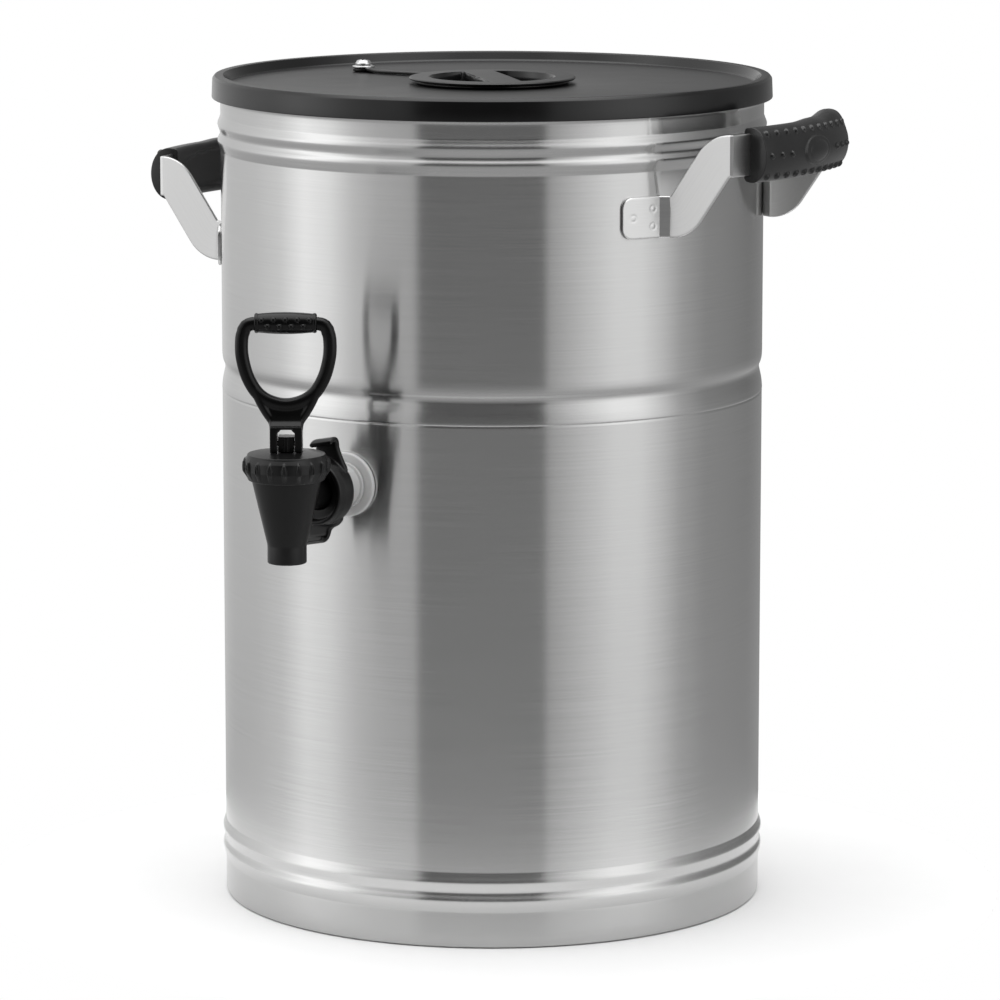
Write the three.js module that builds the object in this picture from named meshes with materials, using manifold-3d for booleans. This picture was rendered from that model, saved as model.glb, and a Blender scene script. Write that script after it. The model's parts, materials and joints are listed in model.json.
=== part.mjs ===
// Stainless drum dispenser for cold drinks: a tall steel drum on an open skirt, a black plastic lid
// with a tethered centre cap, two fixed side handles with rubber grips, and a lever tap.
// Millimetres, +Z up. The tap faces -Y and the handles are at +X and -X. The origin is under the
// middle of the whole object's box, on the surface that the drum stands on.
import * as THREE from 'three';
import { mergeVertices } from 'three/addons/utils/BufferGeometryUtils.js';
import Module from 'manifold-3d';

const wasm = await Module();
wasm.setup();

// ---------------------------------------------------------------- driving dimensions
const GAP = 0.3; // clearance between faces that touch on the real object
const DRUM_SIDES = 48; // facets of the large round parts
const TAP_SIDES = 28; // facets of the small round parts

const DRUM_RADIUS = 137;
const DRUM_WALL = 0.9;
const DRUM_TOP = 414.6; // top of the rolled rim, hidden under the lid
const BEAD_HEIGHT = 1.3; // how far the swaged beads stand out
const LOWER_BEADS = [17.8, 37.5]; // where each pair of beads starts and ends
const UPPER_BEADS = [380.4, 398];
const GROOVE = { start: 263.4, middle: 269.8, end: 279.1, depth: 1.5 };
const HEM = { height: 8, radius: 134.7 }; // folded bottom edge
const RIM = { start: 403, low: 410, high: 412.6, bulge: 1.5 }; // rolled top edge

const PAN_RADIUS = 135.6; // drawn bottom pan of the tank, welded inside the drum
const PAN_WALL = 0.9;
const PAN_TOP = 261.5;
const PAN_FLOOR = 206.5; // lowest point of its underside, near the wall
const PAN_CROWN = 3.5; // rise of the floor towards the middle, so that the tank drains to the tap
const PAN_FLAT = 120; // radius where the floor starts to curve up into the wall

const LID_RADIUS = 141.3;
const LID_TOP = 418;
const LID_PANEL = 413.2; // top of the recessed panel
const LID_HOLE_RADIUS = 34;
const LID_SKIRT_BOTTOM = 406.8;
const LID_PLUG = { outer: 135, inner: 133.2, bottom: 401 }; // ring that fits inside the drum
const LID_PANEL_THICKNESS = 2.4;
const LID_COLLAR_BOTTOM = 408; // collar round the hole for the centre cap

const CAP_RADIUS = 42;
const CAP_TOP = 416.8;
const CAP_PLATE = 1.6; // thickness of the cap's top plate
const CAP_NECK_RADIUS = 33.4;
const CAP_NECK_BOTTOM = 402.5;
const CAP_WALL = 2;
const CAP_BAR_ANGLE = 44; // degrees from the tap's side, seen from above, of the finger bar
const CAP_BAR_WIDTH = 17;
const SCOOP_RADIUS = 31.4;
const SCOOP_DEPTH = 11.6;

const TETHER_SCREW = [-91.5, 23.2]; // from the drum's axis
const TETHER_END_RADIUS = 42.7;
const TETHER_END = [-38.6, 17.6];
const TETHER_WIDTH = 6;
const TETHER_THICKNESS = 1.5;
const TETHER_RISE = 1.3; // how far the strap bows up between its ends
const SCREW_HOLE_RADIUS = 2.3;
const TETHER_NUT = { acrossFlats: 7, bottom: 407.4 };

const TAP_REACH = 191; // tap's own axis from the drum's axis
const TAP_INLET_Z = 228; // height of the shank's axis
const SHANK_HOLE = 8.5; // radius of the hole through the drum and the pan
// Places along the shank are distances in front of the drum's axis.
const SHANK = { start: 118, shoulder: 140.1, end: 157.2, bore: 5.2, thread: 7.9, nose: 10.4 };
const SHANK_NUT = { acrossFlats: 24, from: 125, to: 131.2 };
const INNER_WASHER = { radius: 13.4, from: 131.5, to: 133.5 };
const OUTER_WASHER = { radius: 15.8, from: 137.3, to: 139.8 };
const INLET_GASKET = { bore: 5.6, radius: 10.2, from: 157.5, to: 159.3 };
const INLET = { flangeBack: 159.6, flangeFront: 162.2, flange: 10.4, radius: 8, bore: 5.4 };
const BONNET_RADIUS = 21.4; // over the ribs
const BONNET_RIBS = 18;
const BONNET_TOP = 251.3;
const LEVER_TURN = 31; // degrees that the lever is swivelled at rest
const LEVER_PIN = { z: 255.4, radius: 1.3, half: 7.4, hole: 1.7 };
const LEVER_DEPTH = 6;
const LEVER_GRIP = { radius: 5.4, length: 29.7, z: 313.3 };
const NECK = { width: 15.5, depth: 13, top: 266.5, slot: 8.3, slotTop: 263.1 };
const WING_NUT_TILT = 6.4; // degrees

const HANDLE_TAB_Z = { right: 358.2, left: 330.7 }; // middle of the welded tabs
const STRAP_WIDTH = 20.2;
const STRAP_THICKNESS = 1.5;
const TAB_START = 58.1; // degrees round from the tap
const TAB_END = 66.9;
const TAB_CORNER = 5; // radius of the tabs' corners
const ARM_START = [130.2, -51.9]; // foot and head of the strap's rise, in plan from the drum's axis
const ARM_END = [165.2, -52.6];
const STRAP_RISE = 31.2; // from the tabs up to the grip
const STRAP_CURVE = 11; // radius of the strap's S-shaped rise, along its middle
const GRIP_BOW_RADIUS = 157.6;
const GRIP_HALF_ANGLE = 15;
const GRIP_BOW_CENTRE = 16.2;
const GRIP_HEIGHT = 27;

const TAP_FRONT = TAP_REACH + BONNET_RADIUS;
const AXIS_OFFSET = (TAP_FRONT - LID_RADIUS) / 2; // drum's axis behind the origin

const rad = THREE.MathUtils.degToRad;

// ---------------------------------------------------------------- materials
const finish = (color, roughness, metalness) =>
  new THREE.MeshStandardMaterial({ color, roughness, metalness });
const brushedSteel = () => finish(0xbfc1c3, 0.32, 1);
const blackPlastic = () => finish(0x1b1c1d, 0.5, 0);
const tapPlastic = () => finish(0x141516, 0.4, 0);
const blackRubber = () => finish(0x1c1d1f, 0.75, 0);
const whiteSilicone = () => finish(0xe6e6e2, 0.55, 0);
const greyPlastic = () => finish(0xcfd0cf, 0.45, 0);
const brightSteel = () => finish(0xd4d6d8, 0.18, 1);

// ---------------------------------------------------------------- geometry helpers

// Merges the shared corners of a closed mesh, drops empty triangles and turns the faces outwards.
function closed(geometry) {
  geometry.deleteAttribute('normal');
  geometry.deleteAttribute('uv');
  const merged = mergeVertices(geometry, 1e-4);
  const at = merged.attributes.position;
  const corner = (i) => new THREE.Vector3().fromBufferAttribute(at, i);
  const faces = [];
  let volume = 0;
  for (let i = 0; i < merged.index.count; i += 3) {
    const [a, b, c] = [0, 1, 2].map((k) => merged.index.getX(i + k));
    if (a === b || b === c || c === a) continue;
    faces.push([a, b, c]);
    volume += corner(a).dot(corner(b).cross(corner(c)));
  }
  merged.setIndex(faces.flatMap(([a, b, c]) => (volume < 0 ? [a, c, b] : [a, b, c])));
  return merged;
}

function toSolid(geometry) {
  const mesh = closed(geometry);
  return new wasm.Manifold(new wasm.Mesh({
    numProp: 3,
    vertProperties: new Float32Array(mesh.attributes.position.array),
    triVerts: new Uint32Array(mesh.index.array),
  }));
}

function toGeometry(solid) {
  const mesh = solid.getMesh();
  const geometry = new THREE.BufferGeometry();
  geometry.setAttribute('position', new THREE.BufferAttribute(mesh.vertProperties, 3));
  geometry.setIndex(new THREE.BufferAttribute(mesh.triVerts, 1));
  return geometry;
}

// Turned solid about Z, from [radius, height] points.
function turned(profile, sides = TAP_SIDES) {
  const points = profile.map(([r, z]) => new THREE.Vector2(r, z));
  return new THREE.LatheGeometry(points, sides).rotateX(Math.PI / 2);
}

// Ring whose section closes on itself.
const turnedRing = (profile, sides) => turned([...profile, profile[0]], sides);

// Turned ring about the shank's axis, from [radius, y] points.
const shankRing = (profile, sides) =>
  turnedRing(profile, sides).rotateX(Math.PI / 2)
    .translate(0, 0, TAP_INLET_Z);

function rod(radius, from, to, sides = TAP_SIDES) {
  return turned([[0, from], [radius, from], [radius, to], [0, to]], sides);
}

function box(size, centre) {
  return new THREE.BoxGeometry(...size).translate(...centre);
}

// Closed skin over rings of points that all have the same count, with flat convex ends.
function skin(rings) {
  const count = rings[0].length;
  const index = [];
  for (let r = 0; r + 1 < rings.length; r += 1) {
    for (let k = 0; k < count; k += 1) {
      const a = r * count + k;
      const b = r * count + ((k + 1) % count);
      index.push(a, b, b + count, a, b + count, a + count);
    }
  }
  const last = (rings.length - 1) * count;
  for (let k = 1; k + 1 < count; k += 1) {
    index.push(0, k + 1, k);
    index.push(last, last + k, last + k + 1);
  }
  const geometry = new THREE.BufferGeometry();
  geometry.setAttribute('position', new THREE.Float32BufferAttribute(rings.flat(2), 3));
  geometry.setIndex(index);
  return geometry;
}

function named(name, geometry, material) {
  const mesh = new THREE.Mesh(geometry, material);
  mesh.name = name;
  return mesh;
}

const part = (name, geometry, material) => named(name, closed(geometry), material);
const cutPart = (name, solid, material) => named(name, toGeometry(solid), material);

// ---------------------------------------------------------------- drum and tank

// Two swaged beads side by side, as [height, how far out] points.
function beadPair([start, end]) {
  const steps = [[0, 0], [0.3, 1], [0.52, 0.45], [0.75, 1], [1, 0]];
  return steps.map(([along, out]) => [start + along * (end - start), out * BEAD_HEIGHT]);
}

function shankHole() {
  return toSolid(rod(SHANK_HOLE, 120, 145, 20).rotateX(Math.PI / 2).translate(0, 0, TAP_INLET_Z));
}

function drumShell() {
  const wall = [
    ...beadPair(LOWER_BEADS),
    [GROOVE.start, 0],
    [GROOVE.middle, -GROOVE.depth],
    [GROOVE.end, 0],
    ...beadPair(UPPER_BEADS),
  ];
  const outside = wall.map(([z, out]) => [DRUM_RADIUS + out, z]);
  const inside = wall.map(([z, out]) => [DRUM_RADIUS + out - DRUM_WALL, z]).reverse();
  const rolledRim = [
    [DRUM_RADIUS, RIM.start],
    [DRUM_RADIUS + RIM.bulge, RIM.low],
    [DRUM_RADIUS + RIM.bulge, RIM.high],
    [DRUM_RADIUS + 0.4, DRUM_TOP],
    [DRUM_RADIUS - DRUM_WALL, DRUM_TOP - 1],
  ];
  const inner = DRUM_RADIUS - DRUM_WALL;
  const hem = [[inner, HEM.height + 1], [HEM.radius, HEM.height], [HEM.radius, 0]];
  const profile = [[DRUM_RADIUS, 0], ...outside, ...rolledRim, ...inside, ...hem];
  return toSolid(turnedRing(profile, DRUM_SIDES)).subtract(shankHole());
}

function tankPan() {
  const inner = PAN_RADIUS - PAN_WALL;
  const profile = [
    [0, PAN_FLOOR + PAN_CROWN],
    [PAN_FLAT, PAN_FLOOR],
    [130, PAN_FLOOR + 1.2],
    [134.2, PAN_FLOOR + 5],
    [PAN_RADIUS, PAN_FLOOR + 11],
    [PAN_RADIUS, PAN_TOP],
    [inner, PAN_TOP],
    [inner, PAN_FLOOR + 11.2],
    [133.4, PAN_FLOOR + 5.6],
    [129.6, PAN_FLOOR + 2.2],
    [PAN_FLAT, PAN_FLOOR + PAN_WALL],
    [0, PAN_FLOOR + PAN_CROWN + PAN_WALL],
  ];
  return toSolid(turned(profile, DRUM_SIDES)).subtract(shankHole());
}

// ---------------------------------------------------------------- lid, cap and tether

function lidShape() {
  const panelUnder = LID_PANEL - LID_PANEL_THICKNESS;
  const profile = [
    [LID_HOLE_RADIUS, LID_PANEL],
    [134, LID_PANEL],
    [134.6, LID_TOP - 0.5],
    [135.2, LID_TOP],
    [139.2, LID_TOP],
    [140.4, LID_TOP - 0.6],
    [140.8, LID_TOP - 2],
    [LID_RADIUS, LID_SKIRT_BOTTOM],
    [139.5, LID_SKIRT_BOTTOM],
    [139.1, DRUM_TOP + GAP],
    [LID_PLUG.outer + 0.6, DRUM_TOP + GAP],
    [LID_PLUG.outer, LID_PLUG.bottom],
    [LID_PLUG.inner, LID_PLUG.bottom],
    [LID_PLUG.inner - 0.4, panelUnder],
    [LID_HOLE_RADIUS + 2.2, panelUnder],
    [LID_HOLE_RADIUS + 2, LID_COLLAR_BOTTOM],
    [LID_HOLE_RADIUS, LID_COLLAR_BOTTOM],
  ];
  const screwHole = rod(SCREW_HOLE_RADIUS, LID_PANEL - 5, LID_PANEL + 5, 12)
    .translate(...TETHER_SCREW, 0);
  return toSolid(turnedRing(profile, DRUM_SIDES)).subtract(toSolid(screwHole));
}

// Finger scoop on one side of the cap's bar: deep at the bar, running out at the rim of the scoop.
function scoop(side, grow) {
  const start = CAP_BAR_WIDTH / 2 - grow;
  const reach = SCOOP_RADIUS - CAP_BAR_WIDTH / 2 + 2 * grow;
  const top = CAP_TOP + 1;
  const section = new THREE.Shape();
  section.moveTo(start, top);
  const depth = SCOOP_DEPTH + grow;
  for (let k = 0; k <= 6; k += 1) {
    const a = (k / 6) * (Math.PI / 2);
    section.lineTo(start + reach * Math.sin(a), CAP_TOP - depth * Math.cos(a) ** 0.8);
  }
  section.lineTo(start + reach, top);
  const length = 2 * CAP_RADIUS;
  const bar = new THREE.ExtrudeGeometry(section, { depth: length, bevelEnabled: false });
  bar.rotateX(Math.PI / 2).translate(0, length / 2, 0);
  if (side < 0) bar.rotateZ(Math.PI);
  const round = rod(SCOOP_RADIUS + grow, CAP_NECK_BOTTOM - 5, top + 5, 40);
  return toSolid(bar).intersect(toSolid(round));
}

function centreCap() {
  const plateBottom = CAP_TOP - CAP_PLATE;
  const outside = [
    [0, CAP_NECK_BOTTOM],
    [CAP_NECK_RADIUS - 0.8, CAP_NECK_BOTTOM],
    [CAP_NECK_RADIUS, CAP_NECK_BOTTOM + 1.5],
    [CAP_NECK_RADIUS, plateBottom],
    [CAP_RADIUS, plateBottom],
    [CAP_RADIUS, CAP_TOP - 0.5],
    [CAP_RADIUS - 0.6, CAP_TOP],
    [0, CAP_TOP],
  ];
  const inner = rod(CAP_NECK_RADIUS - CAP_WALL, CAP_NECK_BOTTOM - 1, CAP_TOP - CAP_WALL, 40);
  const hollow = toSolid(inner).subtract(scoop(1, CAP_WALL)).subtract(scoop(-1, CAP_WALL));
  return toSolid(turned(outside, 40)).subtract(scoop(1, 0)).subtract(scoop(-1, 0))
    .subtract(hollow);
}

const tetherBottom = LID_PANEL + GAP;

function tetherRing() {
  const top = CAP_TOP - CAP_PLATE - GAP;
  const inner = CAP_NECK_RADIUS + 0.8;
  return turnedRing([
    [inner, tetherBottom],
    [TETHER_END_RADIUS, tetherBottom],
    [TETHER_END_RADIUS, top],
    [inner, top],
  ], 40);
}

// Eyelet under the screw and the flexible strap that leads from it to the ring round the cap.
function tetherStrap() {
  const start = new THREE.Vector2(...TETHER_SCREW);
  const along = new THREE.Vector2(...TETHER_END).sub(start);
  const length = along.length() + 2;
  along.normalize();
  const side = new THREE.Vector2(-along.y, along.x).multiplyScalar(TETHER_WIDTH / 2);
  const rings = [];
  const steps = 10;
  const first = 3.6; // the strap starts inside the eyelet, clear of its hole
  for (let k = 0; k <= steps; k += 1) {
    const t = k / steps;
    const reach = first + (length - first) * t;
    const low = tetherBottom + TETHER_RISE * Math.sin(Math.PI * t) ** 2;
    const at = along.clone().multiplyScalar(reach).add(start);
    const high = low + TETHER_THICKNESS;
    rings.push([
      [at.x - side.x, at.y - side.y, low],
      [at.x + side.x, at.y + side.y, low],
      [at.x + side.x, at.y + side.y, high],
      [at.x - side.x, at.y - side.y, high],
    ]);
  }
  const eyelet = rod(5.4, tetherBottom, tetherBottom + TETHER_THICKNESS, 20)
    .translate(...TETHER_SCREW, 0);
  const [below, above] = [tetherBottom - 5, CAP_TOP + 5];
  const hole = rod(SCREW_HOLE_RADIUS, below, above, 12).translate(...TETHER_SCREW, 0);
  const ringSpace = rod(TETHER_END_RADIUS + GAP, below, above, 40);
  return toSolid(skin(rings)).add(toSolid(eyelet)).subtract(toSolid(hole))
    .subtract(toSolid(ringSpace));
}

const screwStack = {
  washer: tetherBottom + TETHER_THICKNESS + GAP,
  washerThickness: 1.2,
};
screwStack.head = screwStack.washer + screwStack.washerThickness + GAP;

function tetherScrew() {
  const head = screwStack.head;
  const bottom = TETHER_NUT.bottom - 0.9;
  return turned([
    [0, bottom],
    [1.9, bottom],
    [1.9, head],
    [3.8, head],
    [3.6, head + 1.4],
    [2.4, head + 2.5],
    [0, head + 3],
  ], 16);
}

function tetherWasher() {
  const top = screwStack.washer + screwStack.washerThickness;
  return turnedRing([
    [2.2, screwStack.washer],
    [5.8, screwStack.washer],
    [5.8, top],
    [2.2, top],
  ], 20);
}

// Hexagon nut lying flat, with its hole.
function hexNut(acrossFlats, holeRadius, bottom, top) {
  const corner = acrossFlats / 2 / Math.cos(Math.PI / 6);
  const hole = rod(holeRadius, bottom - 1, top + 1, 18);
  return toSolid(rod(corner, bottom, top, 6)).subtract(toSolid(hole));
}

// ---------------------------------------------------------------- side handles

// Point on a circle round the drum's axis, by degrees round from the tap.
function around(radius, degrees) {
  return [radius * Math.sin(rad(degrees)), -radius * Math.cos(rad(degrees))];
}

// Point on the middle of the strap inside the grip, by degrees along the grip's bow.
function bowPoint(degrees, out = 0) {
  const radius = GRIP_BOW_RADIUS + out;
  return [GRIP_BOW_CENTRE + radius * Math.cos(rad(degrees)), radius * Math.sin(rad(degrees))];
}

// Half of the strap, from its welded tab to the middle of the grip. Each station has the strap's
// upper and lower edge as a point in plan and a height above the tab's middle.
function strapStations() {
  const half = STRAP_WIDTH / 2;
  const tabRadius = DRUM_RADIUS + GAP + STRAP_THICKNESS / 2;
  const stations = [];
  const level = (xy, height, reach = half) =>
    stations.push({ top: [...xy, height + reach], bottom: [...xy, height - reach] });
  for (let k = 0; k <= 3; k += 1) {
    const a = (k / 3) * (Math.PI / 2);
    const inset = TAB_CORNER * (1 - Math.cos(a));
    const degrees = TAB_START + THREE.MathUtils.radToDeg(inset / tabRadius);
    level(around(tabRadius, degrees), 0, half - TAB_CORNER * (1 - Math.sin(a)));
  }
  level(around(tabRadius, (TAB_START + TAB_END) / 2 + 1), 0);
  level(around(tabRadius, TAB_END), 0);
  const armStart = new THREE.Vector2(...ARM_START);
  const armEnd = new THREE.Vector2(...ARM_END);
  const run = armStart.distanceTo(armEnd);
  const direction = armEnd.clone().sub(armStart).normalize();
  // Two arcs joined by a straight stretch, from level to level.
  const climb = STRAP_RISE - 2 * STRAP_CURVE;
  const slope = Math.atan2(climb, run) + Math.asin((2 * STRAP_CURVE) / Math.hypot(run, climb));
  const onArm = (along, height) => {
    const at = direction.clone().multiplyScalar(along).add(armStart);
    return [at.x, at.y, height];
  };
  const station = (along, height, angle) => {
    const lean = [half * Math.sin(angle), half * Math.cos(angle)];
    return {
      top: onArm(along - lean[0], height + lean[1]),
      bottom: onArm(along + lean[0], height - lean[1]),
    };
  };
  const rise = [];
  for (let k = 0; k <= 4; k += 1) {
    const a = (k / 4) * slope;
    rise.push([STRAP_CURVE * Math.sin(a), STRAP_CURVE * (1 - Math.cos(a)), a]);
  }
  rise.forEach(([along, height, a]) => stations.push(station(along, height, a)));
  rise.reverse().forEach(([along, height, a]) =>
    stations.push(station(run - along, STRAP_RISE - height, a)));
  for (let k = 0; k <= 4; k += 1) {
    level(bowPoint(-GRIP_HALF_ANGLE * (1 - k / 4)), STRAP_RISE);
  }
  return stations;
}

// Whole strap of one handle: the half stations, then the same ones mirrored in Y. It is thickened
// along its normal in plan, with a mitre where it turns.
function handleStrap(side, tabZ) {
  const mirror = ([x, y, z]) => [x, -y, z];
  const half = strapStations();
  const other = half.slice(0, -1).reverse()
    .map(({ top, bottom }) => ({ top: mirror(top), bottom: mirror(bottom) }));
  const stations = [...half, ...other];
  const middle = stations.map(({ top, bottom }) =>
    new THREE.Vector2((top[0] + bottom[0]) / 2, (top[1] + bottom[1]) / 2));
  const legNormals = middle.slice(1).map((end, i) => {
    const leg = end.clone().sub(middle[i]);
    return new THREE.Vector2(leg.y, -leg.x).normalize();
  });
  const rings = stations.map(({ top, bottom }, i) => {
    const before = legNormals[Math.max(i - 1, 0)];
    const after = legNormals[Math.min(i, legNormals.length - 1)];
    const normal = before.clone().add(after).normalize();
    const offset = STRAP_THICKNESS / 2 / normal.dot(before);
    const out = (point, way) => [
      side * (point[0] + way * offset * normal.x),
      point[1] + way * offset * normal.y,
      tabZ + point[2],
    ];
    return [out(top, 1), out(bottom, 1), out(bottom, -1), out(top, -1)];
  });
  return skin(rings);
}

// Swept bar along the grip's bow, from [out, height] points of its section.
function bowBar(section, halfAngle, side, middleZ) {
  const rings = [];
  const steps = 8;
  for (let k = 0; k <= steps; k += 1) {
    const degrees = -halfAngle + (2 * halfAngle * k) / steps;
    rings.push(section.map(([out, height]) => {
      const [x, y] = bowPoint(degrees, out);
      return [side * x, y, middleZ + height];
    }));
  }
  return toSolid(skin(rings));
}

function handleGrip(side, tabZ) {
  const middleZ = tabZ + STRAP_RISE - 0.3;
  const section = [[-3.4, -12], [-3.4, 12]];
  for (let a = 90; a >= -90; a -= 30) {
    section.push([1 + 10.5 * Math.cos(rad(a)), (GRIP_HEIGHT / 2) * Math.sin(rad(a))]);
  }
  const slotDeep = STRAP_THICKNESS / 2 + GAP;
  const slotTall = STRAP_WIDTH / 2 + 0.7;
  const slot = [
    [-slotDeep, -slotTall],
    [-slotDeep, slotTall],
    [slotDeep, slotTall],
    [slotDeep, -slotTall],
  ];
  return bowBar(section, GRIP_HALF_ANGLE - 0.2, side, middleZ)
    .subtract(bowBar(slot, GRIP_HALF_ANGLE + 2, side, middleZ + 0.3));
}

// ---------------------------------------------------------------- tap

// The shank: a threaded tube through the wall, with a larger threaded end outside for the wing nut.
function shank() {
  return shankRing([
    [SHANK.bore, SHANK.start],
    [SHANK.thread, SHANK.start],
    [SHANK.thread, SHANK.shoulder],
    [SHANK.nose, SHANK.shoulder],
    [SHANK.nose, SHANK.end],
    [SHANK.bore, SHANK.end],
  ], 24);
}

const shankWasher = ({ bore = SHANK_HOLE, radius, from, to }) =>
  shankRing([[bore, from], [radius, from], [radius, to], [bore, to]], 28);

function wingNut() {
  const ring = shankRing([
    [10.9, 155.5],
    [16.3, 155.5],
    [16.8, 157.5],
    [16.8, 165],
    [16, 168.5],
    [13.8, 168.5],
    [13.8, 164.5],
    [8.6, 164.5],
    [8.6, 162.6],
    [10.9, 162.6],
  ], 28);
  // Ear seen from the side: it rises from the back of the ring and curls forward.
  const outline = [
    [156.8, 15.6], [156.8, 22], [158, 24], [160, 24.6], [164.3, 23.8], [166.4, 21.8],
    [165.3, 20.4], [163.4, 21.6], [160.6, 22], [159.8, 21], [159.8, 15.6],
  ];
  const shape = new THREE.Shape(outline.map(([y, r]) => new THREE.Vector2(-y, r)));
  const width = 10;
  const ear = () => new THREE.ExtrudeGeometry(shape, { depth: width, bevelEnabled: false })
    .translate(0, 0, -width / 2).rotateX(Math.PI / 2).rotateZ(Math.PI / 2);

  let nut = toSolid(ring);
  [0, Math.PI].forEach((turn) => {
    const placed = ear().rotateY(turn + rad(WING_NUT_TILT)).translate(0, 0, TAP_INLET_Z);
    nut = nut.add(toSolid(placed));
  });
  return nut;
}

function faucetBody() {
  const outside = [
    [0, 197.3], [9.45, 197.3], [9.45, 206.3], [16.85, 238], [17.3, 239.6], [17.3, 246.8],
    [0, 246.8],
  ];
  const inside = [
    [0, 196], [7.6, 196], [7.6, 206], [6, 211], [6, 214.5], [8.2, 216], [11.4, 222.5],
    [14.8, 237.5], [14.8, 248], [0, 248],
  ];
  const alongShank = (radius, from, to) => toSolid(
    rod(radius, from, to, 24).rotateX(Math.PI / 2).translate(0, TAP_REACH, TAP_INLET_Z));
  return toSolid(turned(outside))
    .add(alongShank(INLET.radius, INLET.flangeBack, TAP_REACH - 8))
    .add(alongShank(INLET.flange, INLET.flangeBack, INLET.flangeFront))
    .subtract(toSolid(turned(inside)))
    .subtract(alongShank(INLET.bore, INLET.flangeBack - 2, TAP_REACH - 4));
}

function bonnet() {
  const bandRadius = BONNET_RADIUS - 0.8;
  const profile = [
    [3.2, 247.4], [17.8, 247.4], [17.8, 239.3], [17.25, 238.1], [18.1, 237.9], [19.2, 239.4],
    [bandRadius, 242.2], [bandRadius, 246.6], [19.4, 248.7], [18.8, 249.2], [9.5, BONNET_TOP],
    [3.2, BONNET_TOP],
  ];
  let solid = toSolid(turnedRing(profile, 36));
  for (let k = 0; k < BONNET_RIBS; k += 1) {
    const rib = box([2, 1.6, 5.6], [0, -bandRadius, 244])
      .rotateZ((2 * Math.PI * k) / BONNET_RIBS);
    solid = solid.add(toSolid(rib));
  }
  return solid;
}

const acrossLever = (radius, half, height, sides) =>
  rod(radius, -half, half, sides).rotateY(Math.PI / 2).translate(0, 0, height);

const pinHole = () => toSolid(acrossLever(LEVER_PIN.hole, NECK.width, LEVER_PIN.z, 16));

// Stem: rod with a foot for the seat cup and the spring, and a block that the lever's pin crosses.
function stem() {
  const turnedPart = turned([
    [0, 219.8], [7.4, 219.8], [7.4, 221.3], [2.7, 221.3], [2.7, 253.5], [0, 253.5],
  ], 20);
  const block = box([7.4, 9, 6.4], [0, 0, 255.8]);
  return toSolid(turnedPart).add(toSolid(block)).subtract(pinHole());
}

const seatCup = () => turned([
  [0, 213], [5.2, 213], [5.6, 214.7], [7.5, 216.5], [7.5, 219.5], [0, 219.5],
], 20);

class Helix extends THREE.Curve {
  constructor(radius, turns, from, to) {
    super();
    Object.assign(this, { radius, turns, from, to });
  }

  getPoint(t) {
    const a = 2 * Math.PI * this.turns * t;
    return new THREE.Vector3(
      this.radius * Math.cos(a), this.radius * Math.sin(a), this.from + (this.to - this.from) * t);
  }
}

function spring() {
  const wire = new THREE.Shape();
  const wireRadius = 0.55;
  for (let k = 0; k < 5; k += 1) {
    const a = (2 * Math.PI * k) / 5;
    const [x, y] = [wireRadius * Math.cos(a), wireRadius * Math.sin(a)];
    if (k === 0) wire.moveTo(x, y);
    else wire.lineTo(x, y);
  }
  const turns = 6;
  const extrudePath = new Helix(5.2, turns, 222.3, 246.4);
  return new THREE.ExtrudeGeometry(wire, { extrudePath, steps: turns * 12 });
}

// Loop of the lever, as two smooth outlines in its own plane: across and height.
const LOOP_OUTSIDE = [
  [13.9, 273.6], [20.4, 286.7], [24.3, 298.5], [24.5, 306.5], [20.4, 313.6], [14, 316.2],
];
const LOOP_INSIDE = [
  [9.4, 280.2], [14.8, 287.6], [17.5, 297], [17.8, 304.4], [17, 308], [15, 309.8],
];

function lever() {
  const vectors = (points) => points.map(([x, z]) => new THREE.Vector2(x, z));
  const mirrored = (points) => [...points].reverse().map(([x, z]) => [-x, z]);
  const outline = new THREE.Shape();
  outline.moveTo(NECK.width / 2, 262);
  outline.lineTo(NECK.width / 2, 263.4);
  outline.splineThru(vectors([...LOOP_OUTSIDE, [0, 316.7]]));
  outline.splineThru(vectors([...mirrored(LOOP_OUTSIDE), [-NECK.width / 2, 263.4]]));
  outline.lineTo(-NECK.width / 2, 262);
  const hole = new THREE.Path();
  hole.moveTo(0, 277.2);
  hole.splineThru(vectors([...LOOP_INSIDE, [0, 309.9]]));
  hole.splineThru(vectors([...mirrored(LOOP_INSIDE), [0, 277.2]]));
  outline.holes.push(hole);
  const loop = new THREE.ExtrudeGeometry(outline, {
    depth: LEVER_DEPTH, bevelEnabled: false, curveSegments: 3,
  });
  loop.translate(0, 0, -LEVER_DEPTH / 2).rotateX(Math.PI / 2);
  const neckBottom = BONNET_TOP + GAP;
  const neck = box([NECK.width, NECK.depth, NECK.top - neckBottom],
    [0, 0, (NECK.top + neckBottom) / 2]);
  const slotBottom = neckBottom - 2;
  const slot = box([NECK.slot, NECK.depth + 4, NECK.slotTop - slotBottom],
    [0, 0, (NECK.slotTop + slotBottom) / 2]);
  return toSolid(loop).add(toSolid(neck)).subtract(toSolid(slot)).subtract(pinHole());
}

function leverGrip() {
  const { radius, length, z } = LEVER_GRIP;
  const core = box([length + 4, LEVER_DEPTH + 2 * GAP, 7.6], [0, 0, z]);
  return toSolid(acrossLever(radius, length / 2, z, 20)).subtract(toSolid(core));
}

const leverPin = () => acrossLever(LEVER_PIN.radius, LEVER_PIN.half, LEVER_PIN.z, 14);

// ---------------------------------------------------------------- assembly
const dispenser = new THREE.Group();
const drum = new THREE.Group();
drum.position.set(0, AXIS_OFFSET, 0);
dispenser.add(drum);

drum.add(cutPart('drum_shell', drumShell(), brushedSteel()));
drum.add(cutPart('tank_pan', tankPan(), brushedSteel()));

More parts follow.
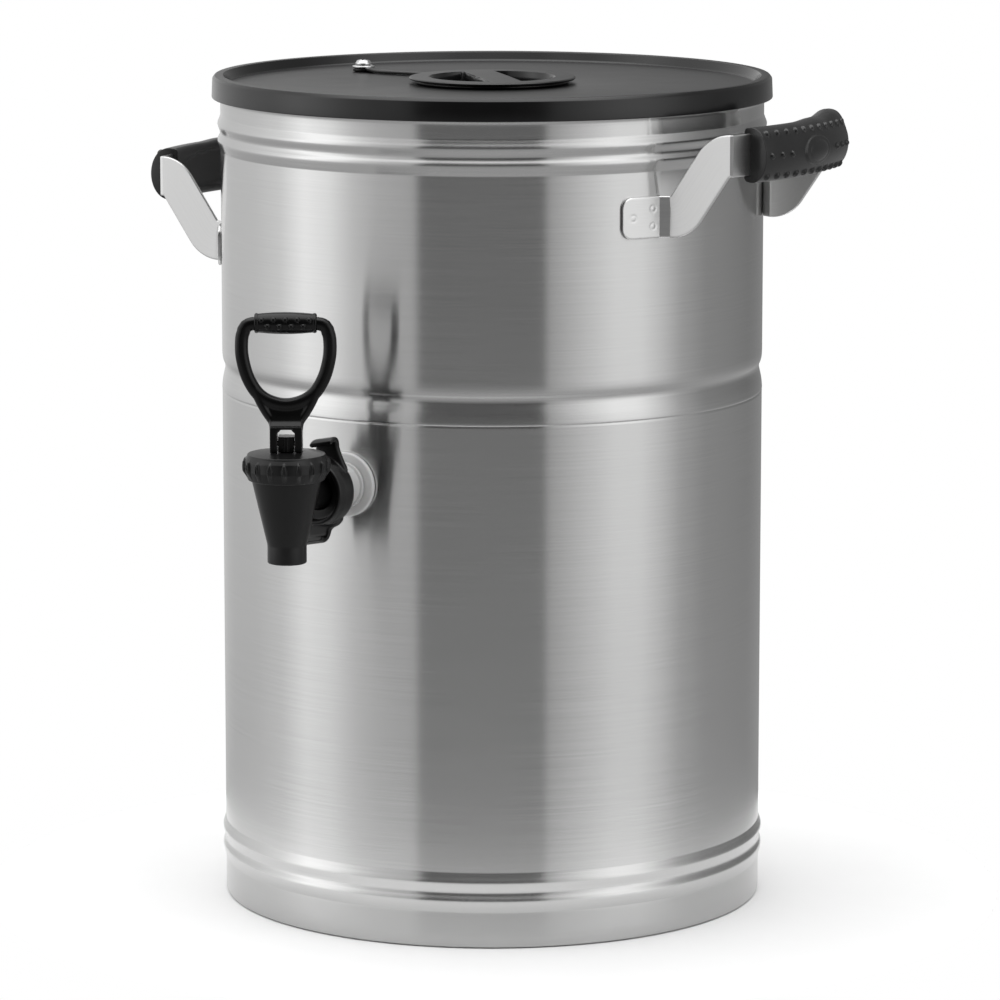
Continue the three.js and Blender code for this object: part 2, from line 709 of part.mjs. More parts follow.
for (const [label, side] of [['right', 1], ['left', -1]]) {
  const tabZ = HANDLE_TAB_Z[label];
  drum.add(part(`handle_strap_${label}`, handleStrap(side, tabZ), brushedSteel()));
  drum.add(cutPart(`handle_grip_${label}`, handleGrip(side, tabZ), blackRubber()));
}

drum.add(cutPart('lid', lidShape(), blackPlastic()));
drum.add(part('tether_ring', tetherRing(), blackPlastic()));
drum.add(cutPart('tether_strap', tetherStrap(), blackPlastic()));

const cap = cutPart('centre_cap', centreCap(), blackPlastic());
cap.rotation.z = rad(CAP_BAR_ANGLE);
drum.add(cap);

const screwSpot = new THREE.Group();
screwSpot.position.set(...TETHER_SCREW, 0);
screwSpot.add(part('tether_screw', tetherScrew(), brightSteel()));
screwSpot.add(part('tether_washer', tetherWasher(), brightSteel()));
const nutTop = LID_PANEL - LID_PANEL_THICKNESS - GAP;
const tetherNut = hexNut(TETHER_NUT.acrossFlats, 2.1, TETHER_NUT.bottom, nutTop);
screwSpot.add(cutPart('tether_nut', tetherNut, brightSteel()));
drum.add(screwSpot);

drum.add(part('shank', shank(), greyPlastic()));
drum.add(part('outer_washer', shankWasher(OUTER_WASHER), whiteSilicone()));
drum.add(part('inner_washer', shankWasher(INNER_WASHER), whiteSilicone()));
drum.add(part('inlet_gasket', shankWasher(INLET_GASKET), whiteSilicone()));
drum.add(cutPart('wing_nut', wingNut(), tapPlastic()));

const nutSolid = hexNut(SHANK_NUT.acrossFlats, 8.3, SHANK_NUT.from, SHANK_NUT.to);
const shankNut = cutPart('shank_nut', nutSolid, greyPlastic());
shankNut.rotation.x = Math.PI / 2;
shankNut.position.z = TAP_INLET_Z;
drum.add(shankNut);

const tap = new THREE.Group();
tap.position.set(0, -TAP_REACH, 0);
drum.add(tap);
tap.add(cutPart('faucet_body', faucetBody(), tapPlastic()));
tap.add(cutPart('bonnet', bonnet(), tapPlastic()));
tap.add(part('seat_cup', seatCup(), whiteSilicone()));
tap.add(part('spring', spring(), brightSteel()));

const swivel = new THREE.Group();
swivel.rotation.z = rad(LEVER_TURN);
tap.add(swivel);
swivel.add(cutPart('stem', stem(), tapPlastic()));
swivel.add(part('lever_pin', leverPin(), brightSteel()));
swivel.add(cutPart('lever', lever(), tapPlastic()));
swivel.add(cutPart('lever_grip', leverGrip(), tapPlastic()));

export default dispenser;
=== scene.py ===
"""Stainless drum dispenser for cold drinks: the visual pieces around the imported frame.

Shapes are made in millimetres in the frame's own axes and scaled to metres when a piece is built.
"""

import json
import math
from collections import namedtuple

import bmesh
import bpy
import numpy as np
from mathutils import Matrix, Vector


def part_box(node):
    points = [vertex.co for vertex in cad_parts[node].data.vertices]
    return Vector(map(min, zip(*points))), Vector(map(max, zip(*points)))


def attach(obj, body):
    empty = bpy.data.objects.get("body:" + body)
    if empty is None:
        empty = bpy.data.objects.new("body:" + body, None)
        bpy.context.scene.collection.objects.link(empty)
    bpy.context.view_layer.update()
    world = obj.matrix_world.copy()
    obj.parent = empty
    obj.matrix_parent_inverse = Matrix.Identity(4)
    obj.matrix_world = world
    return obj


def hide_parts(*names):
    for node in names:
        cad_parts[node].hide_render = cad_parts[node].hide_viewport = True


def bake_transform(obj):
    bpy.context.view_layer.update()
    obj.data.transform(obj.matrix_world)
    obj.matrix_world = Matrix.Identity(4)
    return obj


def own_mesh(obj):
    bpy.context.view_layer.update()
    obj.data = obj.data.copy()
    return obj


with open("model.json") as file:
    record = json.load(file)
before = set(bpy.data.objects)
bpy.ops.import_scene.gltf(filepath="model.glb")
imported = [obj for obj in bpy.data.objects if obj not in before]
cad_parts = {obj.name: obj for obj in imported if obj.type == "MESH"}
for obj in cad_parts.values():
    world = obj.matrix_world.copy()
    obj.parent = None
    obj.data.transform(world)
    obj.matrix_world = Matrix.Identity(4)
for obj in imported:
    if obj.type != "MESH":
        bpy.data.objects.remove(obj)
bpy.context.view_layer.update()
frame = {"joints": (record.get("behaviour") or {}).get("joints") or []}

MM = 0.001


# ------------------------------------------------------------------ places read from the frame
Span = namedtuple("Span", "low high middle")


def span(node):
    """Lowest corner, highest corner and middle of a CAD node, in millimetres."""
    low, high = (np.array(corner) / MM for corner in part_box(node))
    return Span(low, high, (low + high) / 2)


DRUM_Y = span("drum_shell").middle[1]  # the drum's axis
TAP_Y = span("bonnet").middle[1]  # the tap's axis
INLET_Z = span("outer_washer").middle[2]  # the shank's axis
DRUM_AXIS = (0, DRUM_Y, 0)
TAP_AXIS = (0, TAP_Y, 0)
SHANK_CENTRE = (0, DRUM_Y, INLET_Z)  # level with the shank, on the drum's axis
LEVER_AXIS = next(j["axis"] for j in frame["joints"] if j["name"] == "lever_tilt")
LEVER_TURN = math.atan2(LEVER_AXIS[1], LEVER_AXIS[0])  # how far the lever is swivelled at rest

# ------------------------------------------------------------------ driving dimensions, millimetres
RIM_BULGE = 1.5
DRUM_RADIUS = span("drum_shell").high[0] - RIM_BULGE
DRUM_TOP = span("drum_shell").high[2]
SHEET = 0.9  # thickness of the drum's and the pan's steel
BEAD_HEIGHT = 1.45
LOWER_BEADS = (17.8, 37.5)  # start and end heights of each pair
UPPER_BEADS = (380.4, 398.0)
HEM_HEIGHT = 8
HEM_RADIUS = 134.7
RIM_START = 403  # height at which the wall turns out into the rim
SHANK_HOLE = 8.5  # radius of the hole that the shank passes through

LID_RADIUS = span("lid").high[0]
LID_TOP = span("lid").high[2]
LID_PANEL = LID_TOP - 4.8
CAP_RADIUS = 42
CAP_TOP = span("centre_cap").high[2]
CAP_NECK_RADIUS = 33.4
CAP_NECK_BOTTOM = span("centre_cap").low[2]
CAP_BAR_ANGLE = math.radians(44)  # how far the bar is turned from the drum's front
CAP_BAR_WIDTH = 17
SCOOP_RADIUS = 31.4
SCOOP_DEPTH = 11.6

SCREW_X, SCREW_Y = span("tether_screw").middle[:2]
SCREW_AXIS = (SCREW_X, SCREW_Y, 0)
RING_LOW = span("tether_ring").low[2]
RING_HIGH = span("tether_ring").high[2]
RING_RADIUS = 38.5
TETHER_END = (-38.6, DRUM_Y + 17.6)
TETHER_THICKNESS = 1.5

BOW_RADIUS = 157.6  # of the strap's middle inside a grip
BOW_HALF_ANGLE = 15
STRAP_THICKNESS = 1.5
STRAP_WIDTH = 20.2
STRAP_RISE = 31.2  # from the tab to the grip
BOW_CENTRE = span("handle_strap_right").high[0] - STRAP_THICKNESS / 2 - BOW_RADIUS
TAB_START = 58.1  # degrees round from the tap
TAB_END = 66.9
TAB_CORNER = 5
STRAP_CURVE = 11  # radius of the arm's two bends
ARM_START = (131.8, -51.9)  # in plan, where the arm leaves the tab
ARM_END = (165.2, -52.6)  # and where it meets the grip

PIN_Z = span("lever_pin").middle[2]
BONNET_TOP = span("bonnet").high[2]
SLEEVE_Z = span("lever_grip").middle[2]
BONNET_RIBS = 18


# ------------------------------------------------------------------ mesh helpers
def smoothstep(start, end, x):
    t = np.clip((np.asarray(x, float) - start) / (end - start), 0, 1)
    return t * t * (3 - 2 * t)


def unit(v):
    return v / np.linalg.norm(v)


def divided(points, pitch, closed=True, only_beyond=None):
    """The outline with its long edges cut to about a pitch, all of them or only those between
    points that lie beyond a radius."""
    following = np.roll(points, -1, 0) if closed else points[1:]
    out = []
    for a, b in zip(points, following):
        long_edge = only_beyond is None or min(a[0], b[0]) > only_beyond
        count = max(1, int(np.linalg.norm(b - a) / pitch)) if long_edge else 1
        out += [a + (b - a) * k / count for k in range(count)]
    return out


def directions(path):
    """Unit direction of a path at each of its points."""
    path = np.array(path)
    last = len(path) - 1
    return [unit(path[min(i + 1, last)] - path[max(i - 1, 0)]) for i in range(len(path))]


def rounded(points, closed=False, steps=4):
    """Outline with arcs at its corners. A point is (x, y) or (x, y, radius of its corner)."""
    out = []
    count = len(points)
    for i, point in enumerate(points):
        here = np.array(point[:2], float)
        radius = point[2] if len(point) > 2 else 0
        if not radius or (not closed and i in (0, count - 1)):
            out.append(here)
            continue
        back = np.array(points[i - 1][:2], float) - here
        on = np.array(points[(i + 1) % count][:2], float) - here
        back_length, on_length = np.linalg.norm(back), np.linalg.norm(on)
        back, on = back / back_length, on / on_length
        half = math.acos(float(np.clip(back @ on, -1, 1))) / 2
        if half > 1.55:
            out.append(here)
            continue
        cut = min(radius / math.tan(half), 0.49 * back_length, 0.49 * on_length)
        arc_radius = cut * math.tan(half)
        centre = here + unit(back + on) * arc_radius / math.sin(half)
        first, last = here + back * cut - centre, here + on * cut - centre
        turn = math.pi - 2 * half
        for k in range(steps + 1):
            t = k / steps
            out.append(centre + (math.sin((1 - t) * turn) * first
                                 + math.sin(t * turn) * last) / math.sin(turn))
    return np.array(out)


def curve_through(points, closed=False, per_span=8):
    """Catmull-Rom curve through points of any dimension."""
    p = np.array(points, float)
    count = len(p)
    spans = count if closed else count - 1
    out = []
    for i in range(spans):
        if closed:
            a, b, c, d = (p[(i + k) % count] for k in (-1, 0, 1, 2))
        else:
            a, b, c, d = p[max(i - 1, 0)], p[i], p[i + 1], p[min(i + 2, count - 1)]
        for k in range(per_span):
            t = k / per_span
            out.append(0.5 * (2 * b + (c - a) * t + (2 * a - 5 * b + 4 * c - d) * t * t
                              + (3 * b - a - 3 * c + d) * t ** 3))
    if not closed:
        out.append(p[-1])
    return np.array(out)


def grid(points, wrap_u=False, wrap_v=False, caps=False):
    """Faces over an array of points, rows by columns. Returns points, faces and a UV for each face
    corner, in millimetres along the columns and the rows. caps closes the first and last row."""
    rows, cols = points.shape[:2]

    def lengths(axis, wrap):
        closed = np.concatenate([points, np.take(points, [0], axis)], axis) if wrap else points
        step = np.linalg.norm(np.diff(closed, axis=axis), axis=2).mean(1 - axis)
        return np.concatenate([[0], np.cumsum(step)])

    u, v = lengths(1, wrap_u), lengths(0, wrap_v)
    row, col = np.meshgrid(np.arange(rows if wrap_v else rows - 1),
                           np.arange(cols if wrap_u else cols - 1), indexing="ij")
    corners = [(row, col), (row, col + 1), (row + 1, col + 1), (row + 1, col)]
    faces = np.stack([(r % rows) * cols + c % cols for r, c in corners], -1).reshape(-1, 4)
    uvs = np.stack([np.stack([u[c], v[r]], -1) for r, c in corners], -2).reshape(-1, 4, 2)
    faces, uvs = faces.tolist(), uvs.tolist()
    if caps:
        for ring in (list(range(cols))[::-1], list(range((rows - 1) * cols, rows * cols))):
            faces.append(ring)
            uvs.append([[0, 0]] * cols)
    return points.reshape(-1, 3), faces, uvs


def turned(profile, sides=96, centre=(0, 0, 0), axis="z", closed=False, swell=None):
    """Turned surface from (radius, height) points about Z, about X or forwards along the shank.
    swell(angle, radius, height) gives a change of radius."""
    profile = np.asarray(profile, float)[:, :2]
    angle = np.linspace(0, 2 * math.pi, sides, endpoint=False)[None, :]
    radius = np.repeat(profile[:, :1], sides, 1)
    height = np.repeat(profile[:, 1:], sides, 1)
    if swell is not None:
        radius = radius + swell(angle, radius, height)
    across, up = radius * np.cos(angle), radius * np.sin(angle)
    order = {"z": (across, up, height), "x": (height, across, up), "shank": (across, -height, up)}
    points = np.stack(order[axis], -1) + np.array(centre, float)
    return grid(points, wrap_u=True, wrap_v=closed)


def swept(stations, sections, caps=True):
    """Skin over sections of (a, b) points. A station is (place, direction of a, direction of b)."""
    rows = []
    for (place, a, b), section in zip(stations, sections):
        section = np.asarray(section, float)
        rows.append(np.array(place) + section[:, :1] * np.array(a) + section[:, 1:] * np.array(b))
    return grid(np.array(rows), wrap_u=True, caps=caps)


def extruded(outline, low, high):
    """Flat plate in the XZ plane, from y = low to y = high."""
    outline = np.asarray(outline, float)
    rows = [np.stack([outline[:, 0], np.full(len(outline), y), outline[:, 1]], -1)
            for y in (low, high)]
    return grid(np.array(rows), wrap_u=True, caps=True)


def block(low, high):
    """Plain box, used only as a part of a fused piece."""
    (x0, y0, z0), (x1, y1, z1) = low, high
    return extruded([(x0, z0), (x1, z0), (x1, z1), (x0, z1)], y0, y1)


def moved(shape, matrix):
    points, faces, uvs = shape
    m = np.array(matrix)
    return points @ m[:3, :3].T + m[:3, 3], faces, uvs


def mesh_of(name, shapes, scale=1.0):
    """One Blender mesh from several shapes, with poles and seams closed and faces outwards."""
    points, faces, uvs = [], [], []
    start = 0
    for shape_points, shape_faces, shape_uvs in shapes:
        points.extend((shape_points * scale).tolist())
        faces.extend([[i + start for i in face] for face in shape_faces])
        uvs.extend(shape_uvs)
        start += len(shape_points)
    mesh = bpy.data.meshes.new(name)
    mesh.from_pydata(points, [], faces)
    layer = mesh.uv_layers.new(name="along")
    flat = np.array([c for face in uvs for c in face], np.float32) * MM
    layer.data.foreach_set("uv", flat.ravel())
    work = bmesh.new()
    work.from_mesh(mesh)
    bmesh.ops.remove_doubles(work, verts=work.verts, dist=2e-4 * scale)
    bmesh.ops.recalc_face_normals(work, faces=work.faces)
    work.to_mesh(mesh)
    work.free()
    return mesh


def evaluated(mesh, modifiers):
    """The mesh after a list of (type, settings) modifiers."""
    holder = bpy.data.objects.new("work", mesh)
    bpy.context.scene.collection.objects.link(holder)
    for kind, settings in modifiers:
        modifier = holder.modifiers.new(kind, kind)
        for key, value in settings.items():
            setattr(modifier, key, value)
    bpy.context.view_layer.update()
    result = bpy.data.meshes.new_from_object(
        holder.evaluated_get(bpy.context.evaluated_depsgraph_get()))
    bpy.data.objects.remove(holder)
    return result


def in_metres(matrix):
    """A placement given in millimetres, for a mesh that is already in metres."""
    return Matrix.Scale(MM, 4) @ matrix @ Matrix.Scale(1 / MM, 4)


def fused(shapes, voxel, smoothing, keep=0.5):
    """One closed skin over overlapping shells, with the soft inner corners of a moulding."""
    mesh = evaluated(mesh_of("fused", shapes), [
        ("REMESH", {"mode": "VOXEL", "voxel_size": voxel}),
        ("SMOOTH", {"factor": 0.5, "iterations": smoothing}),
        ("DECIMATE", {"ratio": keep}),
    ])
    mesh.transform(Matrix.Scale(MM, 4))
    return mesh


def combined(shape, *steps):
    """A closed shape after exact unions and differences. A step is (operation, shape or mesh)."""
    others = []
    for _, other in steps:
        mesh = other if isinstance(other, bpy.types.Mesh) else mesh_of("other", [other])
        others.append(bpy.data.objects.new("other", mesh))
        bpy.context.scene.collection.objects.link(others[-1])
    mesh = evaluated(mesh_of("combined", [shape]), [
        ("BOOLEAN", {"operation": operation, "object": other, "solver": "EXACT"})
        for (operation, _), other in zip(steps, others)])
    for other in others:
        bpy.data.objects.remove(other)
    mesh.transform(Matrix.Scale(MM, 4))
    return mesh


def piece(name, made, material, body, slot, *stands_for, sharp=38):
    """A shown piece from a mesh or a list of shapes, riding on a body."""
    mesh = made if isinstance(made, bpy.types.Mesh) else mesh_of(name, made, MM)
    mesh.name = name
    mesh.shade_smooth()
    mesh.set_sharp_from_angle(angle=math.radians(sharp))
    mesh.materials.clear()
    mesh.materials.append(material)
    shown = bpy.data.objects.new(name, mesh)
    bpy.context.scene.collection.objects.link(shown)
    if body:
        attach(shown, body)
    if stands_for:
        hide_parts(*stands_for)
    return shown


# ------------------------------------------------------------------ materials
class Nodes:
    """Short calls for building a node tree."""

    def __init__(self, tree):
        self.tree = tree

    def add(self, kind, inputs=None, **settings):
        """A new node. An input is a value or another node's output."""
        node = self.tree.nodes.new(kind)
        for key, value in settings.items():
            setattr(node, key, value)
        for key, value in (inputs or {}).items():
            self.give(node.inputs[key], value)
        return node

    def give(self, socket, value):
        if isinstance(value, bpy.types.NodeSocket):
            self.tree.links.new(value, socket)
        else:
            socket.default_value = value

    def math(self, operation, a, b=0.0):
        return self.add("ShaderNodeMath", {0: a, 1: b}, operation=operation).outputs[0]

    def noise(self, vector, scale, detail=3.0, roughness=0.5):
        return self.add("ShaderNodeTexNoise", {
            "Vector": vector, "Scale": scale, "Detail": detail, "Roughness": roughness,
        }).outputs["Fac"]

    def spread(self, value, low, high, start=0.3, end=0.7):
        return self.add("ShaderNodeMapRange", {
            "Value": value, "From Min": start, "From Max": end, "To Min": low, "To Max": high,
        }).outputs[0]

    def mix(self, factor, a, b, **settings):
        """Colour between two. The node has other sockets named A and B, so pick by type."""
        node = self.add("ShaderNodeMix", {0: factor}, data_type="RGBA", **settings)
        inputs = {s.name: s for s in node.inputs if s.type == "RGBA"}
        self.give(inputs["A"], a)
        self.give(inputs["B"], b)
        return next(s for s in node.outputs if s.type == "RGBA")

    def grey(self, value, low, high, tint=(1, 1, 1)):
        return self.mix(value, (*(low * t for t in tint), 1), (*(high * t for t in tint), 1))

    def bump(self, height, strength, distance):
        node = self.add("ShaderNodeBump", {
            "Height": height, "Strength": strength, "Distance": distance,
        })
        return node.outputs["Normal"]

    def stretched(self, u, v, along, across):
        """Vector for streaks: metres along and across them, times two scales."""
        return self.add("ShaderNodeCombineXYZ", {
            "X": self.math("MULTIPLY", u, along), "Y": self.math("MULTIPLY", v, across),
        }).outputs[0]


class Material(Nodes):
    def __init__(self, name):
        self.material = bpy.data.materials.new(name)
        self.material.use_nodes = True
        super().__init__(self.material.node_tree)
        self.shader = self.tree.nodes["Principled BSDF"]

    def set(self, **values):
        for key, value in values.items():
            self.give(self.shader.inputs[key.replace("_", " ")], value)


def round_the_drum(nodes):
    """Metres round the drum from its back, and height."""
    place = nodes.add("ShaderNodeTexCoord").outputs["Object"]
    split = nodes.add("ShaderNodeSeparateXYZ", {0: place})
    back = nodes.math("SUBTRACT", split.outputs["Y"], DRUM_Y * MM)
    front = nodes.math("MULTIPLY", back, -1.0)
    angle = nodes.math("ARCTAN2", split.outputs["X"], front)
    return nodes.math("MULTIPLY", angle, DRUM_RADIUS * MM), split.outputs["Z"]


def brushed(nodes, u, v, base, roughness):
    """Brushing along u: fine and broad streaks, faint stains and a rolled bump."""
    fine = nodes.noise(nodes.stretched(u, v, 14, 2600), 1.0, 2.0)
    broad = nodes.noise(nodes.stretched(u, v, 5, 700), 1.0, 3.0)
    stain = nodes.noise(nodes.stretched(u, v, 9, 12), 1.0, 4.0)
    streak = nodes.math("ADD", nodes.math("MULTIPLY", fine, 0.8),
                        nodes.math("MULTIPLY", broad, 0.2))
    tone = nodes.math("ADD", nodes.math("MULTIPLY", streak, 0.75),
                      nodes.math("MULTIPLY", stain, 0.25))
    nodes.set(
        Base_Color=nodes.grey(nodes.spread(tone, 0, 1), base * 0.94, base * 1.05,
                              (1.0, 1.0, 0.995)),
        Metallic=1.0,
        Roughness=nodes.spread(tone, roughness * 0.9, roughness * 1.12),
        Normal=nodes.bump(streak, 0.018, 0.0001),
    )


def drum_steel():
    nodes = Material("brushed_drum_steel")
    u, v = round_the_drum(nodes)
    brushed(nodes, u, v, 0.62, 0.205)
    half_round = math.pi * DRUM_RADIUS * MM
    seam = nodes.spread(nodes.math("ABSOLUTE", u), 0, 1, half_round - 0.0013, half_round - 0.0005)
    plain = nodes.shader.inputs["Base Color"].links[0].from_socket
    welded = nodes.mix(seam, plain, (0.48, 0.475, 0.47, 1))
    # darker below the lowest bead: painted shade, which dims the floor's reflection in the steel
    # there
    wear_and_painted_shade = nodes.spread(v, 1, 0, 0.016, 0.024)
    nodes.set(Base_Color=nodes.mix(wear_and_painted_shade, welded, (0.78, 0.78, 0.78, 1), blend_type="MULTIPLY"))
    tangent = nodes.add("ShaderNodeTangent", direction_type="RADIAL", axis="Z").outputs[0]
    nodes.set(Anisotropic=1.0, Anisotropic_Rotation=0.25, Tangent=tangent)
    return nodes.material


def strap_steel():
    nodes = Material("brushed_strap_steel_painted_light")
    uv = nodes.add("ShaderNodeUVMap", uv_map="along").outputs[0]
    split = nodes.add("ShaderNodeSeparateXYZ", {0: uv})
    # lighter than the drum's steel: painted light, for the light falling on the straps' outer faces
    brushed(nodes, split.outputs["Y"], split.outputs["X"], 0.74, 0.33)
    tangent = nodes.add("ShaderNodeTangent", direction_type="UV_MAP", uv_map="along").outputs[0]
    nodes.set(Anisotropic=0.3, Tangent=tangent)
    return nodes.material


def pan_steel():
    nodes = Material("drawn_pan_steel")
    u, v = round_the_drum(nodes)
    brushed(nodes, u, v, 0.6, 0.3)
    return nodes.material


def bright_steel():
    nodes = Material("bright_hardware_steel")
    place = nodes.add("ShaderNodeTexCoord").outputs["Object"]
    mottle = nodes.noise(place, 900, 3)
    nodes.set(
        Base_Color=nodes.grey(mottle, 0.66, 0.8),
        Metallic=1.0,
        Roughness=nodes.spread(mottle, 0.14, 0.26),
        Normal=nodes.bump(mottle, 0.04, 0.0001),
    )
    return nodes.material


def moulded(name, dark, light, roughness, grain, grain_strength, specular=0.5, matt_top=0.0):
    """Moulded plastic or rubber: a fine grain, a faint bloom, worn high spots and, where asked,
    a rougher top."""
    nodes = Material(name)
    place = nodes.add("ShaderNodeTexCoord").outputs["Object"]
    fine = nodes.noise(place, grain, 3, 0.6)
    bloom = nodes.noise(place, 55, 4)
    tone = nodes.math("ADD", nodes.math("MULTIPLY", fine, 0.35),
                      nodes.math("MULTIPLY", bloom, 0.65))
    wear = nodes.add("ShaderNodeNewGeometry").outputs["Pointiness"]
    normal = nodes.add("ShaderNodeTexCoord").outputs["Normal"]
    facing = nodes.add("ShaderNodeSeparateXYZ", {0: normal}).outputs["Z"]
    wear_and_painted_shade = nodes.spread(wear, 0, 0.5, 0.52, 0.62)
    nodes.set(
        Base_Color=nodes.grey(nodes.math("MAXIMUM", nodes.spread(tone, 0, 1), wear_and_painted_shade), dark, light,
                              (1.0, 1.0, 1.02)),
        Roughness=nodes.math("ADD", nodes.spread(tone, roughness * 0.9, roughness * 1.12),
                             nodes.spread(facing, 0, matt_top, 0.6, 0.95)),
        Specular_IOR_Level=specular,
        Normal=nodes.bump(fine, grain_strength, 0.0002),
    )
    return nodes.material


def milky(name, colour, roughness, through):
    """White silicone or nylon that lets a little light through."""
    nodes = Material(name)
    place = nodes.add("ShaderNodeTexCoord").outputs["Object"]
    cloud = nodes.noise(place, 240, 3)
    nodes.set(
        Base_Color=nodes.grey(cloud, colour * 0.95, colour, (1.0, 1.0, 0.995)),
        Roughness=nodes.spread(cloud, roughness * 0.9, roughness * 1.1),
        Subsurface_Weight=through,
        Subsurface_Scale=0.002,
        Normal=nodes.bump(cloud, 0.03, 0.0002),
    )
    return nodes.material


DRUM_STEEL = drum_steel()
PAN_STEEL = pan_steel()
LIT_STRAP_STEEL = strap_steel()
BRIGHT_STEEL = bright_steel()
LID_PLASTIC = moulded("textured_lid_plastic", 0.004, 0.008, 0.17, 2600, 0.06, matt_top=0.2)
TAP_PLASTIC = moulded("moulded_tap_plastic", 0.0035, 0.0065, 0.34, 1500, 0.08, 0.38)
# the lever and stem get a copy of the tap plastic with a darker colour: painted shade, as the lever
# faces the dark opening round the camera
SHADED_LEVER_PLASTIC = moulded("moulded_lever_plastic_painted_shade", 0.0015, 0.003, 0.25, 1500, 0.06, 0.3)
GRIP_RUBBER = moulded("moulded_grip_rubber", 0.008, 0.015, 0.3, 2200, 0.15, 0.55)
SILICONE = milky("milky_silicone", 0.7, 0.35, 0.03)
PALE_PLASTIC = milky("pale_nylon", 0.58, 0.35, 0.02)


# ------------------------------------------------------------------ drum and tank
def bead_pair(z, start, end):
    """How far two swaged beads stand out at a height."""
    along = (z - start) / (end - start)
    places = np.array([0, 0.12, 0.3, 0.45, 0.55, 0.75, 0.9, 1])
    out = np.array([0, 0.5, 1, 0.28, 0.26, 1, 0.45, 0])
    curve = curve_through(np.stack([places, out], -1), per_span=10)
    return BEAD_HEIGHT * np.interp(along, curve[:, 0], curve[:, 1], left=0, right=0)


def groove(z):
    """Swaged groove above the tank's bottom weld, and the weld's fine line under it."""
    shape = curve_through([(255, 0), (257.4, 0), (258.4, -0.02), (258.9, -0.3), (259.5, 0.08),
                           (261.5, 0.0), (264.5, -0.35), (267.6, -1.0), (270, -1.5),
                           (272.2, -1.35), (274, -0.6), (276, -0.18), (279.1, 0), (284, 0)],
                          per_span=8)
    return np.interp(z, shape[:, 0], shape[:, 1], left=0, right=0)


def drum_wall():
    """Heights that follow the beads and the groove closely, and how far out the wall is there."""
    heights = [np.linspace(HEM_HEIGHT + 1, LOWER_BEADS[0] - 0.5, 3)]
    formed = (LOWER_BEADS, (257, 280), UPPER_BEADS)
    for (start, end), (following, _) in zip(formed, (*formed[1:], (RIM_START, 0))):
        heights.append(np.linspace(start - 0.2, end + 0.2, 64))
        heights.append(np.linspace(end + 0.5, following - 0.5, 12))
    heights = np.concatenate(heights)
    out = bead_pair(heights, *LOWER_BEADS) + bead_pair(heights, *UPPER_BEADS) + groove(heights)
    return heights, out


def with_shank_hole(wall):
    hole = turned([(0, 120), (SHANK_HOLE, 120), (SHANK_HOLE, 145), (0, 145)], 48,
                  SHANK_CENTRE, "shank")
    return combined(wall, ("DIFFERENCE", hole))


def drum_body():
    heights, out = drum_wall()
    outside = list(zip(DRUM_RADIUS + out, heights))
    inside = list(zip(DRUM_RADIUS - SHEET + out, heights))[::-2]
    rim_radius = DRUM_RADIUS + RIM_BULGE
    rim = rounded([
        (DRUM_RADIUS, RIM_START),
        (DRUM_RADIUS, 405.5, 4),
        (rim_radius, 409.5, 2),
        (rim_radius, DRUM_TOP, 1.6),
        (DRUM_RADIUS - SHEET, DRUM_TOP, 0.8),
        (DRUM_RADIUS - SHEET, RIM_START),
    ])
    foot = rounded([
        (DRUM_RADIUS - SHEET, HEM_HEIGHT + 1),
        (HEM_RADIUS + 0.2, HEM_HEIGHT, 0.4),
        (HEM_RADIUS, HEM_HEIGHT - 1.2, 0.4),
        (HEM_RADIUS, 0, 0.6),
        (DRUM_RADIUS, 0, 0.8),
        (DRUM_RADIUS, HEM_HEIGHT),
    ])
    profile = [*outside, *rim, *inside, *foot]
    return with_shank_hole(turned(profile, 240, DRUM_AXIS, closed=True))


def tank_bottom():
    low, high, _ = span("tank_pan")
    outer = high[0]
    inner = outer - SHEET
    base, top = low[2], high[2]
    crown = 3.5  # rise towards the middle, so that the tank drains to the tap
    profile = rounded([
        (0, base + crown),
        (120, base, 60),
        (outer, base, 11),
        (outer, top, 0.3),
        (inner, top, 0.3),
        (inner, base + SHEET, 10),
        (120, base + SHEET, 60),
        (0, base + crown + SHEET),
    ], steps=10)
    return with_shank_hole(turned(profile, 192, DRUM_AXIS))


# ------------------------------------------------------------------ lid, cap and tether
def lid():
    under = LID_PANEL - 2.4
    bottom = span("lid").low[2]
    profile = rounded([
        (34, LID_PANEL, 0.5),
        (133, LID_PANEL, 1.8),
        (135.2, LID_TOP, 0.8),
        (139.6, LID_TOP, 1.0),
        (140.9, LID_TOP - 1.6, 1.2),
        (LID_RADIUS, 406.8, 0.5),
        (139.5, 406.8, 0.4),
        (139.1, DRUM_TOP + 0.3, 0.6),
        (135.6, DRUM_TOP + 0.3, 0.4),
        (135, bottom, 0.5),
        (133.2, bottom, 0.5),
        (132.8, under, 1.2),
        (36.2, under, 1.0),
        (36, 408, 0.6),
        (34, 408, 0.6),
    ], closed=True, steps=5)
    return [turned(profile, 288, DRUM_AXIS, closed=True)]


def cap_top(x, y):
    """Height of the centre cap's top: a bar left between two scoops. x runs across the bar."""
    radius = np.hypot(x, y)
    start = CAP_BAR_WIDTH / 2
    reach = SCOOP_RADIUS - start
    along = np.clip((np.abs(x) - start) / reach, 0, 1)
    depth = SCOOP_DEPTH * np.clip(1 - along ** 2, 0, 1) ** 0.4
    wall = smoothstep(-0.5, 1.3, np.abs(x) - start)
    rim = smoothstep(-0.4, 1.6, SCOOP_RADIUS - radius)
    in_rib = np.where(x < 0, 1 - smoothstep(0.5, 1.1, np.abs(y - 1.5)), 0)
    rib = 3.3 * in_rib * smoothstep(start + 0.5, start + 2, np.abs(x))
    edge = 0.55 * smoothstep(CAP_RADIUS - 0.9, CAP_RADIUS, radius) ** 2
    crown = 0.25 * (1 - (radius / CAP_RADIUS) ** 2)
    return CAP_TOP - 0.25 + crown - edge - np.maximum((depth - rib) * wall * rim, 0)


